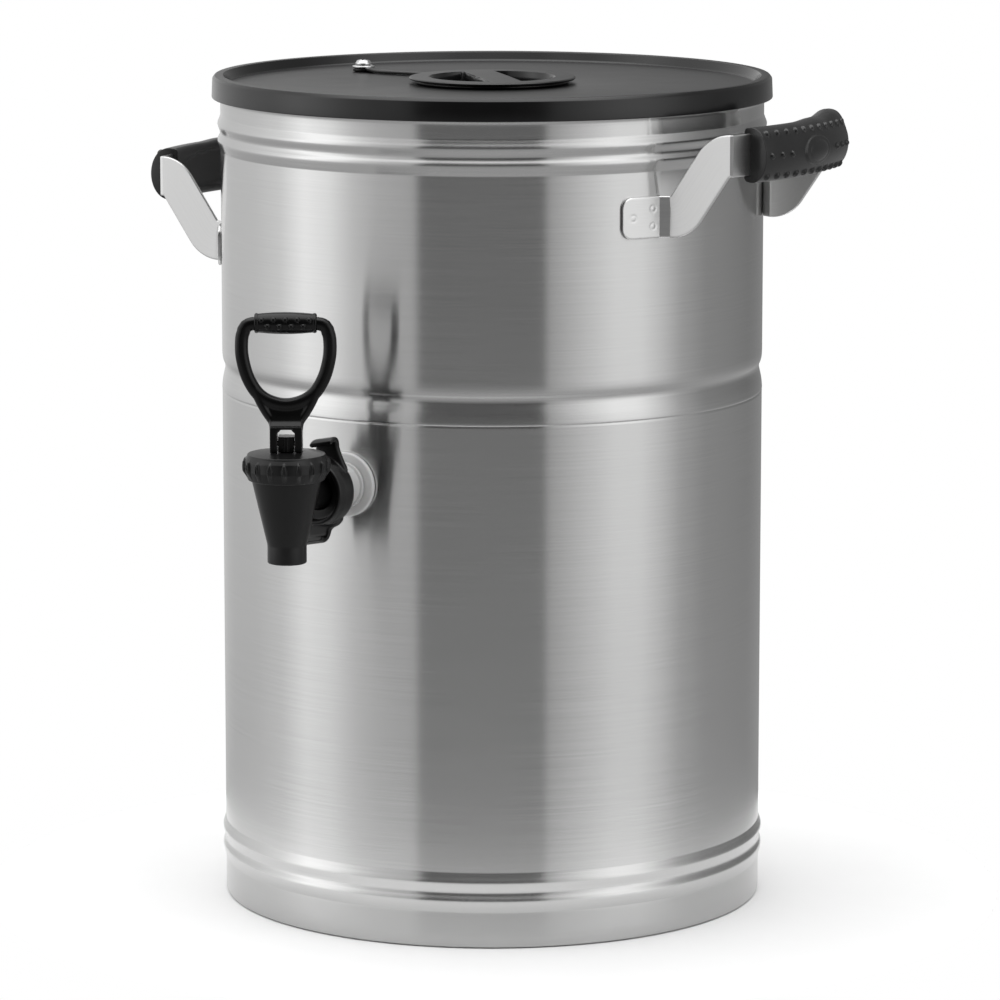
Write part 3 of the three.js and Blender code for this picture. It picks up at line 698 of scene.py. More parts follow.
def centre_cap():
    sides = 320
    plate_bottom = CAP_TOP - 1.6
    angle = np.linspace(0, 2 * math.pi, sides, endpoint=False)

    def ring(radius, height=None, lower=0.0):
        x, y = radius * np.cos(angle), radius * np.sin(angle)
        z = cap_top(x, y) - lower if height is None else np.full(sides, float(height))
        return np.stack([x, y, z], -1)

    rows = [ring(r) for r in np.linspace(0.01, CAP_RADIUS, 96)]
    for radius, height in rounded([
        (CAP_RADIUS, CAP_TOP - 0.7),
        (CAP_RADIUS, plate_bottom + 0.55, 0.2),
        (CAP_RADIUS - 0.5, plate_bottom + 0.35, 0.2),
        (CAP_RADIUS - 0.5, plate_bottom, 0.2),
        (CAP_NECK_RADIUS, plate_bottom, 0.5),
        (CAP_NECK_RADIUS, CAP_NECK_BOTTOM, 1.2),
        (CAP_NECK_RADIUS - 2, CAP_NECK_BOTTOM, 0.6),
        (CAP_NECK_RADIUS - 2, plate_bottom - 0.5),
    ]):
        rows.append(ring(radius, height))
    rows += [ring(r, lower=2) for r in np.linspace(CAP_NECK_RADIUS - 2, 0.01, 60)]
    shape = grid(np.array(rows), wrap_u=True)
    turn = Matrix.Translation(DRUM_AXIS) @ Matrix.Rotation(CAP_BAR_ANGLE, 4, "Z")
    return [moved(shape, turn)]


def tether():
    """Ring round the cap's neck, flexible strap and eyelet, in one moulding."""
    start = np.array([SCREW_X, SCREW_Y])
    along = np.array(TETHER_END) - start
    length = np.linalg.norm(along)
    along = along / length
    side = np.array([along[1], -along[0], 0])
    up = np.array([0, 0, 1.0])
    middle_z = RING_LOW + TETHER_THICKNESS / 2
    section = rounded([(-3, -0.75, 0.5), (3, -0.75, 0.5), (3, 0.75, 0.5), (-3, 0.75, 0.5)],
                      closed=True, steps=3)
    stations, sections = [], []
    for t in np.linspace(0, 1, 49):
        reach = 3.4 + (length + 1.0) * t
        lift = 0.05 + 0.7 * (1 - smoothstep(0, 0.22, t))
        bow = 4.5 * math.sin(math.pi * t ** 0.6)
        place = np.array([*(start + along * reach + side[:2] * bow), middle_z + lift])
        narrow = 1 - 0.3 * math.sin(math.pi * t) ** 2
        stations.append((place, side, up))
        sections.append(section * np.array([narrow, 1]))
    strap = swept(stations, sections)
    ring = turned(rounded([
        (CAP_NECK_RADIUS + 0.8, RING_LOW, 0.3),
        (RING_RADIUS, RING_LOW, 0.5),
        (RING_RADIUS, RING_HIGH, 0.5),
        (CAP_NECK_RADIUS + 0.8, RING_HIGH, 0.3),
    ], closed=True), 160, DRUM_AXIS, closed=True)
    eyelet = turned(rounded([
        (2.4, RING_LOW, 0.3),
        (5.4, RING_LOW, 0.5),
        (5.4, RING_LOW + TETHER_THICKNESS, 0.4),
        (2.4, RING_LOW + TETHER_THICKNESS, 0.3),
    ], closed=True), 48, SCREW_AXIS, closed=True)
    return [strap, ring, eyelet]


def screw():
    low, high, _ = span("tether_screw")
    head = high[2] - 3
    dome = rounded([
        (0, low[2]),
        (1.7, low[2], 0.4),
        (1.9, low[2] + 1, 0.2),
        (1.9, head),
        (4.2, head, 0.2),
        (4.2, head + 0.8, 0.9),
        (3.3, head + 2.2, 1.4),
        (1.5, high[2] - 0.3, 1.5),
        (0, high[2] - 0.2),
    ], steps=6)
    body = turned(dome, 64, SCREW_AXIS)
    slots = []
    for turn in (20, 110):
        shape = block((-2.5, -0.42, head + 1.2), (2.5, 0.42, high[2] + 1))
        place = Matrix.Translation(SCREW_AXIS) @ Matrix.Rotation(
            math.radians(turn), 4, "Z")
        slots.append(moved(shape, place))
    recess = evaluated(mesh_of("slots", slots), [("REMESH", {"mode": "VOXEL", "voxel_size": 0.12})])
    return combined(body, ("DIFFERENCE", recess))


def screw_washer():
    low, high, _ = span("tether_washer")
    return [turned(rounded([
        (2.2, low[2] + 0.15, 0.15),
        (4.9, low[2], 0.2),
        (5.8, low[2] + 0.25, 0.2),
        (5.8, high[2] - 0.35, 0.3),
        (4.6, high[2], 0.4),
        (2.2, high[2], 0.2),
    ], closed=True), 64, SCREW_AXIS, closed=True)]


def hexagon_nut(across_flats, hole, low, high, centre, axis):
    """Hexagon nut with chamfered corners: a turned ring whose radius follows a hexagon."""
    chamfer = 0.07 * across_flats
    profile = rounded([
        (hole, low + 0.3, 0.2),
        (across_flats / 2 - 0.2, low, 0.2),
        (across_flats / 2 + 0.4, low + chamfer * 0.6, 0.2),
        (across_flats / 2 + 0.4, high - chamfer * 0.6, 0.2),
        (across_flats / 2 - 0.2, high, 0.2),
        (hole, high - 0.3, 0.2),
    ], closed=True)

    def hexagon(angle, radius, height):
        turn = (angle + math.pi / 6) % (math.pi / 3) - math.pi / 6
        corner = across_flats / 2 / np.cos(turn) - across_flats / 2
        inset = np.minimum(height - low, high - height)
        allowed = np.minimum(corner, corner * 0.4 + inset * 1.6)
        return np.where(radius > hole + 0.5, np.maximum(allowed, 0), 0)

    return [turned(profile, 144, centre, axis, closed=True, swell=hexagon)]


# ------------------------------------------------------------------ side handles
def around(radius, degrees):
    angle = math.radians(degrees)
    return np.array([radius * math.sin(angle), -radius * math.cos(angle)])


def bow_point(degrees, out=0.0):
    angle = math.radians(degrees)
    radius = BOW_RADIUS + out
    return np.array([BOW_CENTRE + radius * math.cos(angle), radius * math.sin(angle)])


def strap_line():
    """Half of a strap's middle line, from the tab to the middle of the grip: for each station its
    place in plan, its height, half of its width and the lean of its width from upright."""
    half = STRAP_WIDTH / 2
    tab_radius = DRUM_RADIUS + 0.3 + STRAP_THICKNESS / 2
    line = []
    for k in range(9):
        a = k / 8 * math.pi / 2
        inset = TAB_CORNER * (1 - math.cos(a))
        degrees = TAB_START + math.degrees(inset / tab_radius)
        line.append((around(tab_radius, degrees), 0, half - TAB_CORNER * (1 - math.sin(a)), 0))
    for degrees in np.linspace(TAB_START + 2.3, TAB_END, 40):
        line.append((around(tab_radius, degrees), 0, half, 0))
    start, end = np.array(ARM_START), np.array(ARM_END)
    run = np.linalg.norm(end - start)
    direction = (end - start) / run
    climb = STRAP_RISE - 2 * STRAP_CURVE
    slope = math.atan2(climb, run) + math.asin(2 * STRAP_CURVE / math.hypot(run, climb))
    arc = [(STRAP_CURVE * math.sin(a), STRAP_CURVE * (1 - math.cos(a)), a)
           for a in np.linspace(0, slope, 14)]
    rise = arc + [(run - x, STRAP_RISE - z, a) for x, z, a in arc[::-1]]
    line += [(start + direction * x, z, half, a) for x, z, a in rise]
    line.append((end + direction * 1.0, STRAP_RISE, half, 0))
    line.append((bow_point(-BOW_HALF_ANGLE - 0.6), STRAP_RISE, half, 0))
    line += [(bow_point(d), STRAP_RISE, half, 0) for d in np.linspace(-BOW_HALF_ANGLE, 0, 16)]
    return line


def handle_strap(side, tab_z):
    half_line = strap_line()
    line = half_line + [(np.array([p[0], -p[1]]), z, w, -lean)
                        for p, z, w, lean in half_line[-2::-1]]
    across = np.concatenate([np.linspace(-1, -0.94, 4)[:-1], np.linspace(-0.94, 0.94, 45),
                             np.linspace(0.94, 1, 4)[1:]])
    places = np.array([p for p, _, _, _ in line])
    steps = np.linalg.norm(np.diff(places, axis=0), axis=1)
    along = np.concatenate([[0], np.cumsum(steps)])
    tab_length = along[48]  # the tab is the first 49 stations
    welds = [(0.27 * tab_length, 0), (0.8 * tab_length, 4.3), (0.8 * tab_length, -4.3)]
    t = STRAP_THICKNESS / 2
    rows = []
    for i, ((place, height, half, lean), run) in enumerate(zip(line, directions(places))):
        normal = np.array([run[1], -run[0]])
        outer, inner = [], []
        for a in across:
            reach = a * half
            middle = place - run * reach * math.sin(lean)
            z = height + reach * math.cos(lean)
            from_end = min(along[i], along[-1] - along[i])
            edge = 0.35 * max(0, (abs(a) - 0.94) / 0.06) ** 2
            dimple = sum(0.11 * math.exp(-((math.hypot(from_end - u, reach - v) - 1.5) ** 2) / 0.2)
                         for u, v in welds)
            ridge = sum(0.06 * math.exp(-((from_end - u) ** 2 + (reach - v) ** 2) / 0.9)
                        for u, v in welds)
            outer.append([*(middle + normal * (t - edge - dimple + ridge)), z])
            inner.append([*(middle - normal * (t - edge)), z])
        rows.append(outer + inner[::-1])
    points = np.array(rows)
    points[..., 0] *= side
    points[..., 1] += DRUM_Y
    points[..., 2] += tab_z
    return [grid(points, wrap_u=True, caps=True)]


def grip_section():
    """Half-round section of a grip as (out, height) points, from the top round the outside."""
    arc = [(1 + 10.4 * math.cos(a) ** 0.92, 13.4 * math.sin(a))
           for a in np.linspace(math.pi / 2, 0, 40)]
    arc += [(x, -z) for x, z in arc[-2::-1]]
    inner = rounded([(1, -13.4), (-3.4, -12.9, 2.6), (-3.4, 12.9, 2.6), (1, 13.4)], steps=8)
    face = divided(inner[1:-1], 1.0, closed=False)
    return np.array(arc + face + [inner[-2]])


def handle_grip(side, tab_z):
    middle_z = tab_z + STRAP_RISE - 0.3
    base = grip_section()
    length = math.radians(2 * BOW_HALF_ANGLE - 0.4) * BOW_RADIUS
    pitch = length / 11.15
    first = (length - 10 * pitch) / 2
    pips = [(first + k * pitch, 10.3) for k in range(11)]
    pips += [(first + k * pitch, -10.3) for k in range(11)]
    pips += [(first + k * pitch, 0) for k in (0, 1, 2, 8, 9, 10)]
    stations, sections = [], []
    end = 0.35  # rounding of the grip's ends
    positions = np.concatenate([np.linspace(0, end, 5),
                                np.linspace(end, length - end, 210)[1:-1],
                                np.linspace(length - end, length, 5)])
    for s in positions:
        degrees = -BOW_HALF_ANGLE + 0.2 + math.degrees(s / BOW_RADIUS)
        angle = math.radians(degrees)
        place = bow_point(degrees)
        t = s / length
        section = base.copy()
        out, height = section[:, 0], section[:, 1]
        outward = out > 0.9
        # top rises past the middle and ends in a finger stop
        lift = 0.8 * smoothstep(0.45, 0.65, t) + 2.0 * smoothstep(0.72, 0.93, t)
        section[:, 1] = height + lift * smoothstep(6, 13, height)
        # shallow oval recess on the inner face
        recess = (1 - smoothstep(0.84, 1.0, np.hypot((t - 0.5) / 0.42, height / 10))) * 1.8
        section[:, 0] = np.where(out < -3.3, out + recess, out)
        # pips and the plain raised oval
        bulge = np.zeros(len(section))
        for u, v in pips:
            d = np.hypot(s - u, height - v) / 1.45
            bulge += np.where(outward, 1.35 * np.sqrt(np.clip(1 - d * d, 0, 1)), 0)
        oval = np.hypot((s - length / 2) / 12.5, height / 7.4)
        bulge += np.where(outward, 0.9 * (1 - smoothstep(0.86, 1.0, oval)), 0)
        dome = np.hypot((s - length / 2) / 8.5, height / 4.9)
        bulge += np.where(outward, 0.8 * np.sqrt(np.clip(1 - dome * dome, 0, 1)), 0)
        slope = np.stack([np.cos(np.arcsin(np.clip(height / 13.4, -1, 1))), height / 13.4], -1)
        section = section + slope * bulge[:, None]
        # rounded ends
        inset = end - min(s, length - s, end)
        shrink = 1 - (end - math.sqrt(max(end * end - inset * inset, 0))) / 10
        section = (section - np.array([4, 0])) * shrink + np.array([4, 0])
        stations.append(((side * place[0], DRUM_Y + place[1], middle_z),
                         (side * math.cos(angle), math.sin(angle), 0), (0, 0, 1)))
        sections.append(section)
    return [swept(stations, sections)]


# ------------------------------------------------------------------ tap
def shank():
    """Threaded tube through the wall: a coarse thread inside, a plain nose outside."""
    thread = []
    for turn in np.arange(119, 134, 1.6):
        thread += [(7.35, turn), (7.9, turn + 0.45), (7.9, turn + 0.75), (7.35, turn + 1.2)]
    outer = [(7.35, 118), *thread, (7.9, 136), (7.9, 140.1)]
    nose = rounded([
        (7.9, 140.1),
        (11.6, 140.1, 0.4),
        (11.6, 141.9, 0.5),
        (10.4, 142.3, 0.3),
        (10.4, 157.2, 0.4),
        (5.2, 157.2, 0.3),
        (5.2, 118),
    ])
    return [turned([*outer, *nose[1:]], 96, SHANK_CENTRE, "shank", closed=True)]


def shank_washer(node, bore, bend=0.0):
    """Flat washer on the shank. bend is how much of the drum's curve it takes up."""
    low, high, _ = span(node)
    radius = high[0]
    back, front = DRUM_Y - high[1], DRUM_Y - low[1]
    profile = rounded([
        (bore, back, 0.3),
        (radius, back, 0.5),
        (radius, front, 0.8),
        (bore, front, 0.3),
    ], closed=True, steps=5)
    points, faces, uvs = turned(divided(profile, 1.0), 96, SHANK_CENTRE, "shank", closed=True)
    points[:, 1] += bend * points[:, 0] ** 2 / (2 * DRUM_RADIUS)
    return [(points, faces, uvs)]


def wing_nut():
    ring = turned(rounded([
        (10.9, 155.5, 0.5),
        (15.9, 155.5, 1.2),
        (16.7, 158.5, 2),
        (16.8, 164.5, 1.5),
        (15.9, 168.5, 0.9),
        (13.8, 168.5, 0.5),
        (13.6, 164.5, 0.4),
        (8.6, 164.5, 0.3),
        (8.6, 162.6, 0.3),
        (10.9, 162.6, 0.3),
    ], closed=True), 120, (0, 0, 0), "shank", closed=True)
    path = curve_through([(158.6, 11.8), (158.2, 15.5), (158.1, 19.6), (158.8, 23), (160.6, 24.8),
                          (163.2, 24.8), (165.4, 23.5)], per_span=6)
    ears = []
    for turn in (0, math.pi):
        stations, sections = [], []
        for (reach, rise), run in zip(path, directions(path)):
            width = 6.2 + 6.4 * (1 - smoothstep(11.5, 21.5, rise)) if reach < 160.4 else 6.2
            thick = 1.8 - 0.4 * smoothstep(20, 24, rise)
            lean = 0.32 * smoothstep(15, 22, rise)
            stations.append(((0, -reach, rise), (1, 0, lean), (0, -run[1], -run[0])))
            sections.append(rounded([(-width, -thick, thick), (width, -thick, thick),
                                     (width, thick, thick), (-width, thick, thick)],
                                    closed=True, steps=4))
        ears.append(moved(swept(stations, sections), Matrix.Rotation(turn, 4, "Y")))
    mesh = fused([ring, *ears], 0.42, 6, 0.55)
    tilt = Matrix.Rotation(math.radians(6.4), 4, "Y")
    mesh.transform(in_metres(Matrix.Translation(SHANK_CENTRE) @ tilt))
    return mesh


def faucet_body():
    low = span("faucet_body").low[2]
    cone = turned(rounded([
        (0, low),
        (9.45, low, 0.9),
        (9.45, 206.3, 6),
        (16.85, 238, 1),
        (17.3, 239.6, 1),
        (17.3, 246.8, 0.5),
        (0, 246.8),
    ], steps=6), 128, TAP_AXIS)
    inside = turned(rounded([
        (0, low - 2),
        (7.6, low - 2),
        (7.6, 206, 3),
        (6, 211, 2),
        (6, 214.5, 1),
        (8.2, 216, 1),
        (11.4, 222.5, 3),
        (14.8, 237.5, 2),
        (14.8, 249),
        (0, 249),
    ]), 96, TAP_AXIS)
    tube = turned(rounded([
        (0, 159.6),
        (10.4, 159.6, 0.4),
        (10.4, 162.2, 0.4),
        (8, 162.4, 0.8),
        (8, 183),
        (0, 183),
    ]), 64, SHANK_CENTRE, "shank")
    bore = turned([(0, 157), (5.4, 157), (5.4, 187), (0, 187)], 48, SHANK_CENTRE, "shank")
    return combined(cone, ("UNION", tube), ("DIFFERENCE", inside), ("DIFFERENCE", bore))


def bonnet():
    profile = rounded([
        (3.4, BONNET_TOP, 0.3),
        (9.5, BONNET_TOP, 6),
        (18.7, 250.4, 0.5),
        (19.0, 249.5, 0.3),
        (20.2, 247.4, 1.6),
        (20.2, 242.6, 1.8),
        (19.0, 239.4, 0.8),
        (18.4, 237.9, 0.5),
        (17.4, 237.9, 0.3),
        (17.6, 239.4, 0.3),
        (17.8, 247.2, 0.4),
        (3.4, 247.4, 0.3),
    ], closed=True, steps=6)
    def ribs(angle, radius, height):
        spacing = 2 * math.pi / BONNET_RIBS
        off = ((angle + spacing / 2) % spacing - spacing / 2) * 20.6
        rise = (height - 244.8) / 3.6
        width = 1.45 * (1 - 0.38 * rise)
        inside = np.clip(1 - rise ** 2 - (off / width) ** 2, 0, 1)
        raised = 1.2 * inside ** 0.45
        notch = 0.7 * np.clip(1 - ((rise + 0.1) / 0.55) ** 2 - (off / 0.6) ** 2, 0, 1) ** 0.5
        return np.where(radius > 18.5, raised - notch, 0)

    return [turned(divided(profile, 0.45, only_beyond=19), 720, TAP_AXIS, closed=True,
                   swell=ribs)]


LEVER_PLACE = Matrix.Translation(TAP_AXIS) @ Matrix.Rotation(LEVER_TURN, 4, "Z")


def tap_stem():
    rod = turned(rounded([
        (0, 219.8),
        (7.4, 219.8, 0.5),
        (7.4, 221.3, 0.4),
        (2.7, 221.3, 0.6),
        (2.7, 254),
        (0, 254),
    ]), 48)
    head = block((-3.8, -4.3, 251.6), (3.8, 4.3, 259))
    rib = block((-1.0, -4.9, 251.6), (1.0, 4.9, 259))
    mesh = fused([rod, head, rib], 0.25, 3, 0.5)
    mesh.transform(in_metres(LEVER_PLACE))
    return mesh


def seat_cup():
    return [turned(rounded([
        (0, 213),
        (5.2, 213, 0.5),
        (5.6, 214.7, 0.6),
        (7.5, 216.5, 0.8),
        (7.5, 219.5, 0.5),
        (0, 219.5),
    ]), 64, TAP_AXIS)]


def spring():
    turns, wire, radius = 6, 0.55, 5.2
    low, high = 222.3, 246.4
    stations, sections = [], []
    ring = [(wire * math.cos(a), wire * math.sin(a))
            for a in np.linspace(0, 2 * math.pi, 10, endpoint=False)]
    for t in np.linspace(0, 1, turns * 40 + 1):
        angle = 2 * math.pi * turns * t
        out = np.array([math.cos(angle), math.sin(angle), 0])
        stations.append((np.array([0, TAP_Y, low + (high - low) * t]) + out * radius,
                         out, (0, 0, 1)))
        sections.append(ring)
    return [swept(stations, sections)]


LOOP_INSIDE = [(0, 277.2), (9.4, 280.2), (14.8, 287.6), (17.5, 297), (17.8, 304.4), (17, 308),
               (15, 309.8), (0, 309.9)]
LOOP_TUBE = 3.25  # half of the loop's thickness


def lever_loop():
    """Centre line of the loop's bar, which is the inner outline moved outwards by half the bar,
    and its outward direction."""
    right = LOOP_INSIDE[1:-1]
    outline = [LOOP_INSIDE[0], *right, LOOP_INSIDE[-1], *[(-x, z) for x, z in right[::-1]]]
    line = curve_through(outline, closed=True, per_span=8)
    run = np.roll(line, -1, 0) - np.roll(line, 1, 0)
    run /= np.linalg.norm(run, axis=1)[:, None]
    normal = np.stack([run[:, 1], -run[:, 0]], -1)
    return line + normal * LOOP_TUBE, normal


def lever():
    line, normal = lever_loop()
    section = [(LOOP_TUBE * math.copysign(abs(math.cos(a)) ** 0.85, math.cos(a)),
                3.0 * math.copysign(abs(math.sin(a)) ** 0.85, math.sin(a)))
               for a in np.linspace(0, 2 * math.pi, 24, endpoint=False)]
    points = []
    for (x, z), (nx, nz) in zip(line, normal):
        points.append([[x + a * nx, b, z + a * nz] for a, b in section])
    loop = grid(np.array(points), wrap_u=True, wrap_v=True)
    shapes = [loop]
    for sign in (1, -1):
        path = curve_through([(15.2, 283), (12.6, 276.4), (9.4, 270.6), (6.2, 265.8), (5.6, 262)],
                             per_span=6)
        stations, sections = [], []
        for (x, z), direction in zip(path, directions(path)):
            side = (-direction[1] * sign, 0, direction[0])
            stations.append(((sign * x, 0, z), side, (0, 1, 0)))
            sections.append([(2.5 * math.cos(a), 3.1 * math.sin(a))
                             for a in np.linspace(0, 2 * math.pi, 16, endpoint=False)])
        shapes.append(swept(stations, sections))
    web = [(-13, 279.5), (-9, 277), (0, 275), (9, 277), (13, 279.5), (9.5, 272), (6.5, 264),
           (-6.5, 264), (-9.5, 272)]
    shapes.append(extruded(web, -2.0, 2.0))
    saddle = [(262.9, 7.75, 6.5), (263.7, 7.75, 6.2), (264.8, 7.8, 5.0), (266.4, 8.0, 3.6),
              (269, 8.6, 2.6), (273, 9.8, 2.1)]
    shapes.append(swept([((0, 0, z), (1, 0, 0), (0, 1, 0)) for z, _, _ in saddle],
                        [rounded([(-w, -d, 1), (w, -d, 1), (w, d, 1), (-w, d, 1)], closed=True)
                         for _, w, d in saddle]))
    half, depth = 7.75, 6.5
    low, top = BONNET_TOP + 0.3, 263.9
    shapes.append(block((-half, -depth, low), (-4.15, depth, top)))
    shapes.append(block((4.15, -depth, low), (half, depth, top)))
    shapes.append(block((-half, -depth, 262.7), (half, depth, top)))
    for left, right in ((3.0, 4.4), (-4.4, -3.0)):
        shapes.append(block((left, -depth, 261.6), (right, depth, 263.0)))
    mesh = fused(shapes, 0.36, 12, 0.45)
    mesh.transform(in_metres(LEVER_PLACE))
    return mesh


def lever_sleeve():
    length = 29.7
    half = length / 2
    stops = np.concatenate([
        np.linspace(-half, -half + 1.5, 8), np.linspace(-half + 1.5, half - 1.5, 90)[1:-1],
        np.linspace(half - 1.5, half, 8)])
    profile = [(3.6, -half)]
    for x in stops:
        lip = 0.35 * (smoothstep(half - 1.9, half - 1.2, abs(x)))
        edge = 0.5 * max(0, (abs(x) - half + 0.5) / 0.5) ** 2
        profile.append((5.25 - 0.95 * (x / half) ** 2 + lip - edge, x))
    profile.append((3.6, half))

    def pips(angle, radius, height):
        total = np.zeros(np.broadcast(angle, radius).shape)
        for face in (-1, 1):  # the front faces -Y
            for count, degrees in ((5, 24), (4, -14)):
                for k in range(count):
                    place = (k - (count - 1) / 2) * 5.7
                    centre = math.atan2(math.sin(math.radians(degrees)),
                                        face * math.cos(math.radians(degrees)))
                    off = (angle - centre + math.pi) % (2 * math.pi) - math.pi
                    d = np.hypot(off * 5.2, height - place) / 1.45
                    total = total + 1.1 * np.sqrt(np.clip(1 - d * d, 0, 1))
        return np.where(radius > 4, total, 0)

    shape = turned(profile, 200, (0, 0, SLEEVE_Z), "x", swell=pips)
    return [moved(shape, LEVER_PLACE)]


def lever_pin():
    low = -7.6
    shape = turned(rounded([(0, low), (1.3, low, 0.3), (1.3, -low, 0.3), (0, -low)]), 32,
                   (0, 0, PIN_Z), "x")
    return [moved(shape, LEVER_PLACE)]


# ------------------------------------------------------------------ assembly
piece("drum_body", drum_body(), DRUM_STEEL, "container", "brushed_steel", "drum_shell")
piece("tank_bottom", tank_bottom(), PAN_STEEL, "container", "brushed_steel", "tank_pan")
for label, side in (("right", 1), ("left", -1)):
    strap_node, grip_node = f"handle_strap_{label}", f"handle_grip_{label}"
    tab_z = span(strap_node).low[2] + STRAP_WIDTH / 2
    piece(f"strap_{label}", handle_strap(side, tab_z), LIT_STRAP_STEEL, "container",
          "brushed_steel", strap_node, sharp=18)
    piece(f"grip_{label}", handle_grip(side, tab_z), GRIP_RUBBER, "container",
          "grip_rubber", grip_node, sharp=40)

piece("lid_moulding", lid(), LID_PLASTIC, "lid", "lid_plastic", "lid")
piece("cap_moulding", centre_cap(), LID_PLASTIC, "cap", "lid_plastic", "centre_cap", sharp=50)
strap_and_ring = piece("tether", tether(), LID_PLASTIC, None, "lid_plastic",
                       "tether_strap", "tether_ring")
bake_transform(strap_and_ring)
piece("screw", screw(), BRIGHT_STEEL, "lid", "bright_steel", "tether_screw", sharp=30)
piece("screw_washer", screw_washer(), BRIGHT_STEEL, "lid", "bright_steel", "tether_washer")
nut_low, nut_high, _ = span("tether_nut")
piece("screw_nut", hexagon_nut(7, 2.1, nut_low[2], nut_high[2], SCREW_AXIS, "z"),
      BRIGHT_STEEL, "lid", "bright_steel", "tether_nut")

piece("shank_tube", shank(), PALE_PLASTIC, "container", "pale_plastic", "shank")
nut_low, nut_high, _ = span("shank_nut")
piece("shank_locknut",
      hexagon_nut(24, 8.3, DRUM_Y - nut_high[1], DRUM_Y - nut_low[1], SHANK_CENTRE, "shank"),
      PALE_PLASTIC, "container", "pale_plastic", "shank_nut")
piece("washer_outside", shank_washer("outer_washer", 8.4, 0.6), SILICONE, "container",
      "silicone", "outer_washer")
piece("washer_inside", shank_washer("inner_washer", 8.4), SILICONE, "container",
      "silicone", "inner_washer")
piece("gasket", shank_washer("inlet_gasket", 5.6), SILICONE, "container",
      "silicone", "inlet_gasket")
piece("wing_nut_moulding", wing_nut(), TAP_PLASTIC, "wing_nut", "tap_plastic", "wing_nut",
      sharp=70)
piece("tap_body", faucet_body(), TAP_PLASTIC, "container", "tap_plastic", "faucet_body")
piece("bonnet_moulding", bonnet(), TAP_PLASTIC, "bonnet", "tap_plastic", "bonnet", sharp=50)
piece("tap_stem", tap_stem(), SHADED_LEVER_PLASTIC, "stem", "tap_plastic", "stem", sharp=60)
piece("seat_rubber", seat_cup(), SILICONE, "stem", "silicone", "seat_cup")
coil = piece("coil_spring", spring(), BRIGHT_STEEL, "spring_seat", "bright_steel", "spring")
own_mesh(coil)
piece("lever_moulding", lever(), SHADED_LEVER_PLASTIC, "lever", "tap_plastic", "lever", sharp=70)
piece("lever_sleeve", lever_sleeve(), SHADED_LEVER_PLASTIC, "lever", "tap_plastic", "lever_grip")
piece("pin", lever_pin(), BRIGHT_STEEL, "stem", "bright_steel", "lever_pin")


# ------------------------------------------------------------------ floor, light and camera
CAMERA_AZIMUTH = math.radians(31)  # the camera stands this far round from the tap
CAMERA_REACH = 2.6195
CAMERA_HEIGHT = 0.6448
CAMERA_PITCH = math.radians(9.636)
CAMERA_LENS = 187.27
CAMERA_SHIFT = 0.0078  # to the right, as the photograph frames the drum left of its middle


def floor():
    sides = 128
    radius = 0.26
    ring = [(radius * math.cos(a), radius * math.sin(a) + DRUM_Y * MM, -0.0004)
            for a in np.linspace(0, 2 * math.pi, sides, endpoint=False)]
    mesh = bpy.data.meshes.new("floor")
    mesh.from_pydata(ring, [], [list(range(sides))])
    nodes = Material("pale_floor")
    place = nodes.add("ShaderNodeTexCoord").outputs["Object"]
    mottle = nodes.noise(place, 30, 3)
    nodes.set(Base_Color=nodes.grey(mottle, 0.9, 0.92), Roughness=0.9, Specular_IOR_Level=0.1)
    mesh.materials.append(nodes.material)
    obj = bpy.data.objects.new("floor", mesh)
    bpy.context.scene.collection.objects.link(obj)


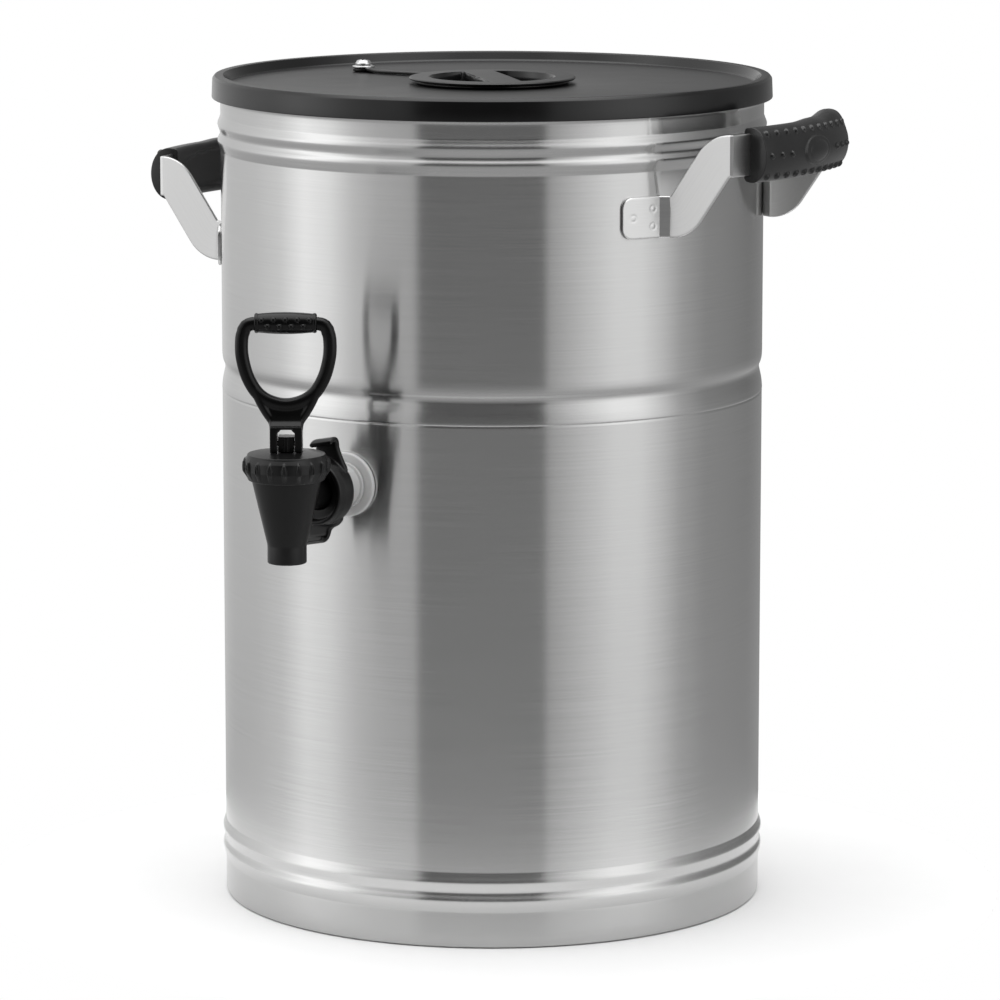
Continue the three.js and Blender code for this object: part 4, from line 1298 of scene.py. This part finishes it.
def studio():
    """White surroundings to the eye. What shines on the object is a soft studio: a wide light on
    the left, another on the right, a dark opening round the camera and a white ceiling."""
    world = bpy.data.worlds.new("studio")
    bpy.context.scene.world = world
    world.use_nodes = True
    nodes = Nodes(world.node_tree)
    nodes.tree.nodes.clear()
    add, calc = nodes.add, nodes.math

    direction = add("ShaderNodeTexCoord").outputs["Generated"]
    split = add("ShaderNodeSeparateXYZ", {0: direction})
    x, y, z = (split.outputs[k] for k in "XYZ")
    c, s = math.cos(CAMERA_AZIMUTH), math.sin(CAMERA_AZIMUTH)
    to_right = calc("ADD", calc("MULTIPLY", x, c), calc("MULTIPLY", y, s))
    to_camera = calc("SUBTRACT", calc("MULTIPLY", x, s), calc("MULTIPLY", y, c))
    azimuth = calc("ARCTAN2", to_right, to_camera)
    turn = calc("ADD", calc("DIVIDE", azimuth, 2 * math.pi), 0.5)
    stops = [  # degrees to the right of the camera, and brightness
        (-180, 0.7), (-145, 0.72), (-119, 0.86), (-101, 1.08), (-86, 1.65), (-73, 1.42),
        (-60, 0.88), (-49, 0.66), (-33, 0.54), (-30, 0.05), (21, 0.05), (24, 0.45), (40, 0.92),
        (53, 1.28), (65, 1.3), (75, 0.98), (87, 0.52), (102, 0.3), (139, 0.2), (165, 0.24),
    ]
    ramp = add("ShaderNodeValToRGB", {0: turn})
    elements = ramp.color_ramp.elements
    while len(elements) < len(stops):
        elements.new(0.5)
    for element, (degrees, value) in zip(elements, stops):
        element.position = degrees / 360 + 0.5
        element.color = (value, value, value, 1)
    up = add("ShaderNodeMapRange", {"Value": z, "From Min": 0.7, "From Max": 0.93}).outputs[0]
    down = add("ShaderNodeMapRange", {"Value": z, "From Min": -0.1, "From Max": -0.3}).outputs[0]
    sides = add("ShaderNodeBackground", {"Color": ramp.outputs[0], "Strength": 1.0})
    ceiling = add("ShaderNodeBackground", {"Color": (1, 1, 1, 1), "Strength": 2.8})
    ground = add("ShaderNodeBackground", {"Color": (1, 1, 1, 1), "Strength": 0.44})
    over = add("ShaderNodeMixShader", {0: up, 1: sides.outputs[0], 2: ceiling.outputs[0]})
    studio_light = add("ShaderNodeMixShader", {0: down, 1: over.outputs[0], 2: ground.outputs[0]})
    plain = add("ShaderNodeBackground", {"Color": (1, 1, 1, 1), "Strength": 1.0})
    seen = add("ShaderNodeLightPath").outputs["Is Camera Ray"]
    both = add("ShaderNodeMixShader", {0: seen, 1: studio_light.outputs[0], 2: plain.outputs[0]})
    output = add("ShaderNodeOutputWorld")
    nodes.give(output.inputs[0], both.outputs[0])


def camera():
    data = bpy.data.cameras.new("camera")
    data.sensor_width = 36
    data.lens = CAMERA_LENS
    data.shift_x = CAMERA_SHIFT
    obj = bpy.data.objects.new("camera", data)
    bpy.context.scene.collection.objects.link(obj)
    s, c = math.sin(CAMERA_AZIMUTH), math.cos(CAMERA_AZIMUTH)
    obj.location = (CAMERA_REACH * s, DRUM_Y * MM - CAMERA_REACH * c, CAMERA_HEIGHT)
    level, down = math.cos(CAMERA_PITCH), math.sin(CAMERA_PITCH)
    look = Vector((-s * level, c * level, -down))
    obj.rotation_mode = "QUATERNION"
    obj.rotation_quaternion = look.to_track_quat("-Z", "Y")
    data.clip_start, data.clip_end = 0.05, 50
    bpy.context.scene.camera = obj


floor()
studio()
camera()
bpy.context.scene.view_settings.view_transform = "Standard"
